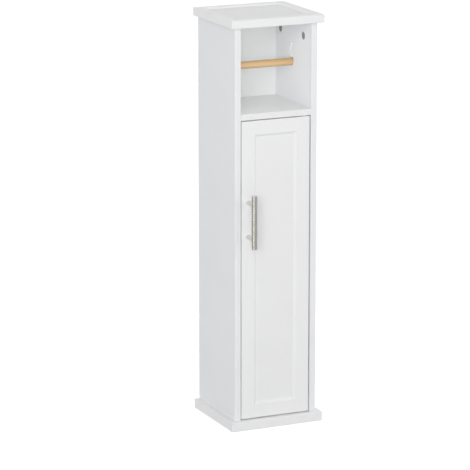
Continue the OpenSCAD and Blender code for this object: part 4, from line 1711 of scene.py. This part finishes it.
@dataclass
class MagneticCatch:
    """A magnetic catch on the left side panel, and its strike plate on the door's back."""

    base_thickness: float = 4.0 * MM
    case_corner: float = 2.5 * MM
    block_corner: float = 1.2 * MM
    case_ease: float = 0.5 * MM
    case_cap: float = 1.5 * MM
    wall: float = 2.0 * MM
    pocket_corner: float = 0.2 * MM
    magnet_corner: float = 0.4 * MM
    magnet_ease: float = 0.3 * MM
    pole_corner: float = 0.2 * MM
    pole_ease: float = 0.15 * MM
    plate_corner: float = 2.0 * MM
    plate_ease: float = 0.25 * MM
    dish_land: float = 0.1 * MM
    case_screw: Screw = Screw(
        radius=1.5 * MM, grip=12.0 * MM, head_radius=2.7 * MM, head_height=1.8 * MM, drive=2.6 * MM
    )
    plate_screw: Screw = Screw(
        radius=1.5 * MM,
        grip=8.0 * MM,
        head_radius=3.1 * MM,
        head_height=1.6 * MM,
        drive=2.8 * MM,
        countersunk=True,
    )

    def __post_init__(self) -> None:
        """Takes the catch's place from the frame."""
        self.case_box, self.magnet_box = Box.of("catch_housing"), Box.of("catch_magnet")
        self.pole_box, self.plate_box = Box.of("catch_pole_plates"), Box.of("strike_plate")
        self.y, self.z = self.case_box.middle.y, self.case_box.middle.z
        screws, head = Box.of("catch_screws"), self.case_screw.head_radius
        self.screw_zs = [screws.low.z + head, screws.high.z - head]

    def screw_holes(self, depth: float, facing: Facing) -> list[Solid]:
        """The cutters of the case screws' holes, from where the case lies on the side panel."""
        mouths = [(self.case_box.low.x, self.y, z) for z in self.screw_zs]
        return [bored(self.case_screw.hole, depth, facing, mouth) for mouth in mouths]

    def side_cuts(self) -> list[Solid]:
        """The cutters of the screw holes in the left side panel."""
        return self.screw_holes(self.case_screw.grip - self.base_thickness + HOLE_SPARE, Facing.LEFT)

    def plate_place(self, y: float) -> Point:
        """The middle of the strike plate, at that depth."""
        return (self.plate_box.middle.x, y, self.plate_box.middle.z)

    def door_cuts(self) -> list[Solid]:
        """The cutter of the strike screw's hole in the door's back."""
        mouth = self.plate_place(self.plate_box.low.y)
        return [bored(self.plate_screw.hole, self.plate_screw.grip + HOLE_SPARE, Facing.FRONT, mouth)]

    def case(self) -> Mesh:
        """The housing: a base plate with ears, and a block with the magnet's pocket.

        Returns:
            The housing's mesh.
        """
        size, base = self.case_box.size, self.base_thickness
        pocket_half_w = self.pole_box.size.x / 2 + HOLE_PLAY
        pocket_half_l = self.magnet_box.size.z / 2 + HOLE_PLAY
        plate = Panel(size.y / 2, size.z / 2, self.case_corner)
        block = Panel(size.y / 2, pocket_half_l + self.wall, self.block_corner)
        place = Facing.RIGHT.at((self.case_box.low.x, self.y, self.z))
        solids = []
        for panel, foot, top in ((plate, 0, base), (block, base / 2, size.x)):
            corners = [Corner(0, foot), Corner(0, top, self.case_ease), Corner(self.case_cap, top)]
            solids.append(placed(panel.build(corners), place))
        whole = joined(as_mesh(solids[0]), solids[1])
        depth = self.magnet_box.high.y - self.case_box.low.y + HOLE_PLAY + CUT
        pocket = Panel(pocket_half_w, pocket_half_l, self.pocket_corner).prism(depth)
        mouth = Facing.BACK.at((self.pole_box.middle.x, self.case_box.low.y - CUT, self.z))
        return carved(whole, [placed(pocket, mouth)], self.screw_holes(base + CUT, Facing.RIGHT))

    def magnet(self) -> Mesh:
        """The ferrite magnet.

        Returns:
            The magnet's mesh.
        """
        box, size = self.magnet_box, self.magnet_box.size
        block = Panel(size.x / 2, size.z / 2, self.magnet_corner).eased_block(size.y, self.magnet_ease)
        return laid(block, Facing.FRONT, (box.middle.x, box.high.y, self.z))

    def poles(self, units: UnitTree) -> Mesh:
        """The two pole plates, one on each side of the magnet.

        Args:
            units: The tree that sets them out.

        Returns:
            The mesh of both.
        """
        box = self.pole_box
        thickness = (box.size.x - self.magnet_box.size.x) / 2
        half = thickness / 2
        pole = Panel(half, box.size.z / 2, self.pole_corner).eased_block(box.size.y, self.pole_ease)
        seats = [Facing.FRONT.at((x, box.high.y, self.z)) for x in (box.low.x + half, box.high.x - half)]
        return units.copies(as_mesh(pole), seats, ZINC_PLATE)

    def plate(self) -> Mesh:
        """The strike plate, dished for its screw.

        Returns:
            The plate's mesh.
        """
        size = self.plate_box.size
        blank = Panel(size.x / 2, size.z / 2, self.plate_corner).eased_block(size.y, self.plate_ease)
        dished = drill(self.plate_screw.hole, size.y + CUT, countersink=size.y - self.dish_land)
        whole = laid(blank, Facing.BACK, self.plate_place(self.plate_box.low.y))
        from_back = Facing.FRONT.at(self.plate_place(self.plate_box.high.y))
        return carved(whole, [placed(dished, from_back)])

    def build(self, units: UnitTree, screws: ScrewTree) -> None:
        """Shows the catch, its strike plate and their screws.

        Args:
            units: The tree that sets out the pole plates.
            screws: The tree that sets out the screws.
        """
        cabinet, door, steel = Body.CABINET, Body.DOOR, Slot.SCREW_STEEL
        show("catch_case", self.case(), cabinet, Slot.NYLON, NYLON, "catch_housing")
        show("catch_ferrite", self.magnet(), cabinet, Slot.FERRITE, FERRITE, "catch_magnet")
        show("catch_poles", self.poles(units), cabinet, steel, ZINC_PLATE, "catch_pole_plates")
        seat_x = self.case_box.low.x + self.base_thickness
        seats = [Facing.RIGHT.at((seat_x, self.y, z)) for z in self.screw_zs]
        fixings = self.case_screw.copies(screws, seats, ZINC_PLATE)
        show("catch_case_screws", fixings, cabinet, steel, ZINC_PLATE, "catch_screws")
        show("striker", self.plate(), door, steel, ZINC_PLATE, "strike_plate")
        seat = Facing.BACK.at(self.plate_place(self.plate_box.low.y))
        fixing = self.plate_screw.copies(screws, [seat], ZINC_PLATE)
        show("striker_screw", fixing, door, steel, ZINC_PLATE, "strike_screw")


# ---------------------------------------------------------------- boards


@dataclass
class Carcass:
    """The fixed boards: tray top, plinth, both sides, back sheet and shelf."""

    joints: FlatPackJoints
    rod: RollRod
    hinge: PivotHinge
    catch: MagneticCatch
    ease: float = 1.0 * MM
    tray_rim: float = 15.0 * MM
    tray_depth: float = 3.5 * MM
    tray_lean: float = 3.0 * MM
    tray_corner: float = 3.0 * MM
    tray_edge: float = 0.6 * MM
    tray_cove: float = 1.0 * MM
    groove_depth: float = 4.0 * MM
    groove_clearance: float = 0.15 * MM
    sheet_corner: float = 0.3 * MM
    sheet_ease: float = 0.2 * MM

    def __post_init__(self) -> None:
        """Takes the back sheet's box and the grooves' length across the cabinet from the frame."""
        self.sheet = Box.of("back_panel")
        self.groove_length = 2 * (Box.of("right_side_panel").low.x + self.groove_depth)

    def groove(self, length: float, x: float, z: float, facing: Facing) -> Solid:
        """The cutter of a groove for the back sheet.

        Args:
            length: The groove's length.
            x: Where the middle of its mouth is.
            z: The height of the middle of its mouth.
            facing: The way it runs into the board.

        Returns:
            The cutter.
        """
        half_width, half_length = self.sheet.size.y / 2 + self.groove_clearance, length / 2
        upright = facing in (Facing.LEFT, Facing.RIGHT)
        half_u, half_v = (half_width, half_length) if upright else (half_length, half_width)
        cutter = Panel(half_u, half_v, SHARP, corner_steps=1).prism(self.groove_depth + CUT)
        mouth = facing.at((x, self.sheet.middle.y, z))
        return placed(cutter, mouth @ Matrix.Translation((0, 0, -CUT)))

    def slab(self, node: str, top: Sequence[Corner], inset: float = 0.0, corner_r: float = 0.0) -> Mesh:
        """The top or the base panel, skinned upwards from its eased underside.

        Args:
            node: Its frame node.
            top: The corners of its upper face's profile.
            inset: The inset of a sunk field's mouth.
            corner_r: The radius of that mouth's corners.

        Returns:
            The mesh.
        """
        box = Box.of(node)
        outline = Panel(box.size.x / 2, box.size.y / 2, self.ease, inset, corner_r)
        solid = outline.build([Corner(2 * self.ease, 0), Corner(0, 0, self.ease), *top])
        return laid(solid, Facing.UP, (box.middle.x, box.middle.y, box.low.z))

    def build_top(self) -> None:
        """Shows the tray top."""
        box = Box.of("top_panel")
        thick, foot = box.size.z, self.tray_rim + self.tray_lean
        floor = thick - self.tray_depth
        corners = [
            Corner(0, thick, self.ease),
            Corner(self.tray_rim, thick, self.tray_edge),
            Corner(foot, floor, self.tray_cove),
            Corner(foot + 2 * self.tray_cove, floor),
        ]
        slab = self.slab("top_panel", corners, self.tray_rim, self.tray_corner)
        groove = self.groove(self.groove_length, 0, box.low.z, Facing.UP)
        mesh = carved(slab, [groove, *self.joints.face_cuts(*self.joints.seats["top"].values())])
        half_x, half_y = box.size.x / 2 - self.tray_rim, box.size.y / 2 - self.tray_rim
        finish = replace(TRAY_LACQUER, half_x=half_x, half_y=half_y, floor_z=box.low.z + floor)
        show("tray_top", mesh, Body.CABINET, Slot.BOARD, finish, "top_panel")

    def build_base(self) -> None:
        """Shows the plinth board."""
        box = Box.of("base_panel")
        slab = self.slab("base_panel", [Corner(0, box.size.z, self.ease), Corner(2 * self.ease, box.size.z)])
        groove = self.groove(self.groove_length, 0, box.high.z, Facing.DOWN)
        holes = self.joints.face_cuts(*self.joints.seats["base"].values())
        mesh = carved(slab, [groove, self.hinge.bush_seat(End.LOWER), *holes])
        show("plinth", mesh, Body.CABINET, Slot.BOARD, LACQUER, "base_panel")

    def build_side(self, side: Side) -> None:
        """Shows a side panel.

        Args:
            side: The panel's side.
        """
        name, seats = side.name.lower(), self.joints.seats
        box = Box.of(f"{name}_side_panel")
        inner_x = box.high.x if side is Side.LEFT else box.low.x
        board = Panel(box.size.x / 2, box.size.y / 2, self.ease).prism(box.size.z)
        blank = laid(board, Facing.UP, (box.middle.x, box.middle.y, box.low.z))
        groove = self.groove(box.size.z + 2 * CUT, inner_x, box.middle.z, side.outward)
        pockets, holes = self.joints.end_cuts(seats["top"][side], seats["base"][side])
        holes += self.joints.face_cuts(seats["shelf"][side])
        holes += self.catch.side_cuts() if side is Side.LEFT else [self.rod.release_cutter(inner_x)]
        mesh = carved(blank, [groove, self.rod.slot_cutter(inner_x, side), *pockets], holes)
        finish = replace(SIDE_LACQUER, face=abs(inner_x), slot_y=self.rod.middle.y)
        show(f"{name}_side", mesh, Body.CABINET, Slot.BOARD, finish, f"{name}_side_panel")

    def build_shelf(self) -> None:
        """Shows the shelf, with its cam pockets underneath."""
        box = Box.of("middle_shelf")
        board = Panel(box.size.y / 2, box.size.z / 2, self.ease).prism(box.size.x)
        blank = laid(board, Facing.RIGHT, (box.low.x, box.middle.y, box.middle.z))
        pockets, holes = self.joints.end_cuts(*self.joints.seats["shelf"].values())
        pockets.insert(0, self.hinge.bush_seat(End.UPPER))
        mesh = carved(blank, pockets, holes)
        show("roll_shelf", mesh, Body.CABINET, Slot.BOARD, LACQUER, "middle_shelf")

    def build_back(self) -> None:
        """Shows the thin back sheet in its grooves."""
        size, middle = self.sheet.size, self.sheet.middle
        sheet = Panel(size.x / 2, size.z / 2, self.sheet_corner).eased_block(size.y, self.sheet_ease)
        mesh = laid(sheet, Facing.FRONT, (middle.x, self.sheet.high.y, middle.z))
        show("back_sheet", mesh, Body.CABINET, Slot.BACK_BOARD, BACK_LACQUER, "back_panel")

    def build(self) -> None:
        """Shows all the fixed boards."""
        self.build_top()
        self.build_base()
        for side in Side:
            self.build_side(side)
        self.build_shelf()
        self.build_back()


@dataclass
class Door:
    """The inset door with its sunk, bevelled field."""

    hinge: PivotHinge
    handle: BarHandle
    catch: MagneticCatch
    ease: float = 1.0 * MM
    frame_width: float = 26.0 * MM
    field_depth: float = 4.0 * MM
    bevel_width: float = 4.5 * MM
    bevel_ease: float = 0.5 * MM

    def build(self) -> None:
        """Shows the door."""
        box = Box.of("door_panel")
        size, field = box.size, box.size.y - self.field_depth
        foot = self.frame_width + self.bevel_width
        corners = [
            Corner(2 * self.ease, 0),
            Corner(0, 0, self.ease),
            Corner(0, size.y, self.ease),
            Corner(self.frame_width, size.y, self.bevel_ease),
            Corner(foot, field, self.bevel_ease),
            Corner(foot + 2 * self.ease, field),
        ]
        leaf = Panel(size.x / 2, size.z / 2, self.ease).build(corners)
        blank = laid(leaf, Facing.FRONT, (box.middle.x, box.high.y, box.middle.z))
        pin_holes = [self.hinge.pin_hole(end) for end in End]
        holes = [*pin_holes, *self.handle.door_cuts(), *self.catch.door_cuts()]
        mesh = carved(blank, holes)
        show("door_leaf", mesh, Body.DOOR, Slot.BOARD, LACQUER, "door_panel")


# ---------------------------------------------------------------- studio


def hang_lamp(
    name: str, place: Vector, looks: Vector, width: float, height: float, power: float
) -> bpy.types.Object:
    """Hangs a soft lamp that isn't itself seen by the camera.

    Args:
        name: The lamp's name.
        place: The middle of its face.
        looks: The way that it shines.
        width: The face's width.
        height: The face's height.
        power: Its power in watts.

    Returns:
        The lamp.
    """
    data = bpy.data.lights.new(name, "AREA")
    data.shape = "RECTANGLE"
    data.size, data.size_y = width, height
    data.energy = power
    lamp = bpy.data.objects.new(name, data)
    lamp.location = place
    lamp.rotation_euler = looks.to_track_quat("-Z", "Y").to_euler()
    lamp.visible_camera = False
    bpy.context.scene.collection.objects.link(lamp)
    return lamp


@dataclass(frozen=True)
class SoftBox:
    """A square soft lamp on a sphere round the cabinet, turned towards its middle.

    Its azimuth is 0 in front of the door and negative to the left; its elevation is above the horizon.
    """

    name: str
    azimuth: float
    elevation: float
    size: float
    power: float
    distance: float = 4.2
    aim: Point = (0.0, 0.0, 0.4)
    only_on: tuple[str, ...] = ()

    def build(self) -> None:
        """Hangs the lamp. One that is only on named pieces lights nothing else."""
        around, above = math.radians(self.azimuth), math.radians(self.elevation)
        flat = math.cos(above)
        towards = Vector((math.sin(around) * flat, -math.cos(around) * flat, math.sin(above)))
        place = Vector(self.aim) + towards * self.distance
        lamp = hang_lamp(self.name, place, -towards, self.size, self.size, self.power)
        if self.only_on:
            lit = bpy.data.collections.new(f"lit_by_{self.name}")
            for piece in self.only_on:
                lit.objects.link(bpy.data.objects[piece])
            lamp.light_linking.receiver_collection = lit


@dataclass(frozen=True)
class MouthLight:
    """A faint lamp that fills the open compartment's mouth and shines straight in."""

    power: float
    inset: float = 3.0 * MM
    spread: float = 140.0

    def build(self) -> None:
        """Hangs the lamp in the mouth, where it is seen neither directly nor in reflections."""
        panel, right = Box.of("left_side_panel"), Box.of("right_side_panel").low.x
        floor, ceiling = Box.of("middle_shelf").high.z, Box.of("top_panel").low.z
        left, front = panel.high.x, panel.low.y
        width, height = right - left - 2 * self.inset, ceiling - floor - 2 * self.inset
        place = Vector(((left + right) / 2, front, (floor + ceiling) / 2))
        lamp = hang_lamp("mouth_light", place, Vector((0, 1, 0)), width, height, self.power)
        lamp.data.spread = math.radians(self.spread)
        lamp.visible_glossy = False


@dataclass
class Studio:
    """A white sweep, soft lamps and the camera at the photograph's viewing angle."""

    camera_place: Point = (-2.1872, -4.7156, 1.6076)
    camera_yaw: float = 24.4095
    camera_pitch: float = 13.6207
    camera_roll: float = -0.0175
    focal_length: float = 219.893
    fill: float = 0.33
    backlight: float = 0.8
    backlight_from: Point = (0.45, 0.85, 0.28)
    floor_half: float = 14.0
    floor_drop: float = 0.2 * MM
    floor_tone: float = 0.62
    floor_seen_tone: float = 0.35
    floor_seen_glow: float = 0.86
    mouth_light: MouthLight = MouthLight(0.0385)
    soft_boxes: tuple[SoftBox, ...] = (
        SoftBox("key", azimuth=-30, elevation=8, size=3.6, power=69.0, distance=6.0),
        SoftBox("upper", azimuth=-30, elevation=20, size=2.6, power=61.0),
        SoftBox("right", azimuth=60, elevation=12, size=5.0, power=67.0),
        SoftBox("left", azimuth=-90, elevation=15, size=2.6, power=19.0),
        SoftBox("gleam", azimuth=-60, elevation=8, size=1.6, power=120.0, only_on=("grip_bar",)),
    )

    @staticmethod
    def split(graph: Graph, output: str, lit: bpy.types.Node, shown: bpy.types.Node) -> None:
        """Ends a tree with one shader for the light and another for the eye.

        Args:
            graph: The tree.
            output: The type of its output node.
            lit: The shader that lights the object.
            shown: The shader that the camera and mirror images show.
        """
        rays = graph.add("ShaderNodeLightPath").outputs
        direct = graph.math("MAXIMUM", rays["Is Camera Ray"], rays["Is Glossy Ray"])
        seen = graph.math("MAXIMUM", direct, rays["Is Transmission Ray"])
        mix = graph.add("ShaderNodeMixShader", {0: seen, 1: lit.outputs[0], 2: shown.outputs[0]})
        graph.add(output, {"Surface": mix.outputs[0]})

    def build_world(self) -> None:
        """Makes the fill light, stronger from behind, and the white that is seen behind the object."""
        world = bpy.data.worlds.new("studio")
        world.use_nodes = True
        graph = Graph(world.node_tree)
        way = graph.add("ShaderNodeTexCoord").outputs["Generated"]
        ways = {0: way, 1: tuple(Vector(self.backlight_from).normalized())}
        share = graph.add("ShaderNodeVectorMath", ways, operation="DOT_PRODUCT").outputs["Value"]
        strength = graph.math("MULTIPLY_ADD", graph.math("MAXIMUM", share, 0.0), self.backlight, self.fill)
        fill = graph.add("ShaderNodeBackground", {"Color": (1, 1, 1, 1), "Strength": strength})
        white = graph.add("ShaderNodeBackground", {"Color": (1, 1, 1, 1), "Strength": 1.0})
        self.split(graph, "ShaderNodeOutputWorld", fill, white)
        bpy.context.scene.world = world

    def build_floor(self) -> None:
        """Lays the white floor, which keeps the object's soft shadow."""
        material = bpy.data.materials.new("white_sweep")
        material.use_nodes = True
        graph = Graph(material.node_tree)
        tones = (self.floor_tone, self.floor_seen_tone)
        lit, shade = [graph.add("ShaderNodeBsdfDiffuse", {"Color": (tone, tone, tone, 1)}) for tone in tones]
        glow = graph.add("ShaderNodeEmission", {"Color": (1, 1, 1, 1), "Strength": self.floor_seen_glow})
        white = graph.add("ShaderNodeAddShader", {0: shade.outputs[0], 1: glow.outputs[0]})
        self.split(graph, "ShaderNodeOutputMaterial", lit, white)
        half, z = self.floor_half, -self.floor_drop
        corners = [(-half, -half, z), (half, -half, z), (half, half, z), (-half, half, z)]
        mesh = bpy.data.meshes.new("sweep")
        mesh.from_pydata(corners, [], [range(len(corners))])
        mesh.materials.append(material)
        floor = bpy.data.objects.new("sweep", mesh)
        bpy.context.scene.collection.objects.link(floor)

    def build_camera(self) -> None:
        """Sets up the camera."""
        data = bpy.data.cameras.new("camera")
        data.lens = self.focal_length
        camera = bpy.data.objects.new("camera", data)
        camera.location = self.camera_place
        tilt = Matrix.Rotation(math.radians(90 - self.camera_pitch), 4, "X")
        roll = Matrix.Rotation(math.radians(self.camera_roll), 4, "Z")
        turn = Matrix.Rotation(math.radians(-self.camera_yaw), 4, "Z")
        camera.rotation_euler = (turn @ tilt @ roll).to_euler()
        bpy.context.scene.collection.objects.link(camera)
        bpy.context.scene.camera = camera

    def build(self) -> None:
        """Sets up the whole studio."""
        bpy.context.scene.view_settings.view_transform = "Standard"
        self.build_world()
        self.build_floor()
        lamps = (*self.soft_boxes, self.mouth_light)
        for lamp in lamps:
            lamp.build()
        self.build_camera()
        LOG.info("studio: %d lamps", len(lamps))


# ---------------------------------------------------------------- the whole cabinet


def main() -> None:
    """Builds the cabinet around its frame, and the studio around the cabinet."""
    logging.basicConfig(level=logging.INFO, format="%(name)s: %(message)s")
    units, pegs, screws = UnitTree(), FlutedPegTree(), ScrewTree()
    joints = FlatPackJoints()
    rod = RollRod()
    hinge = PivotHinge()
    handle = BarHandle()
    catch = MagneticCatch()
    Carcass(joints, rod, hinge, catch).build()
    Door(hinge, handle, catch).build()
    hinge.build()
    handle.build(units, screws)
    catch.build(units, screws)
    rod.build()
    joints.build(units, pegs, screws)
    Studio().build()


if __name__ == "__main__":
    main()
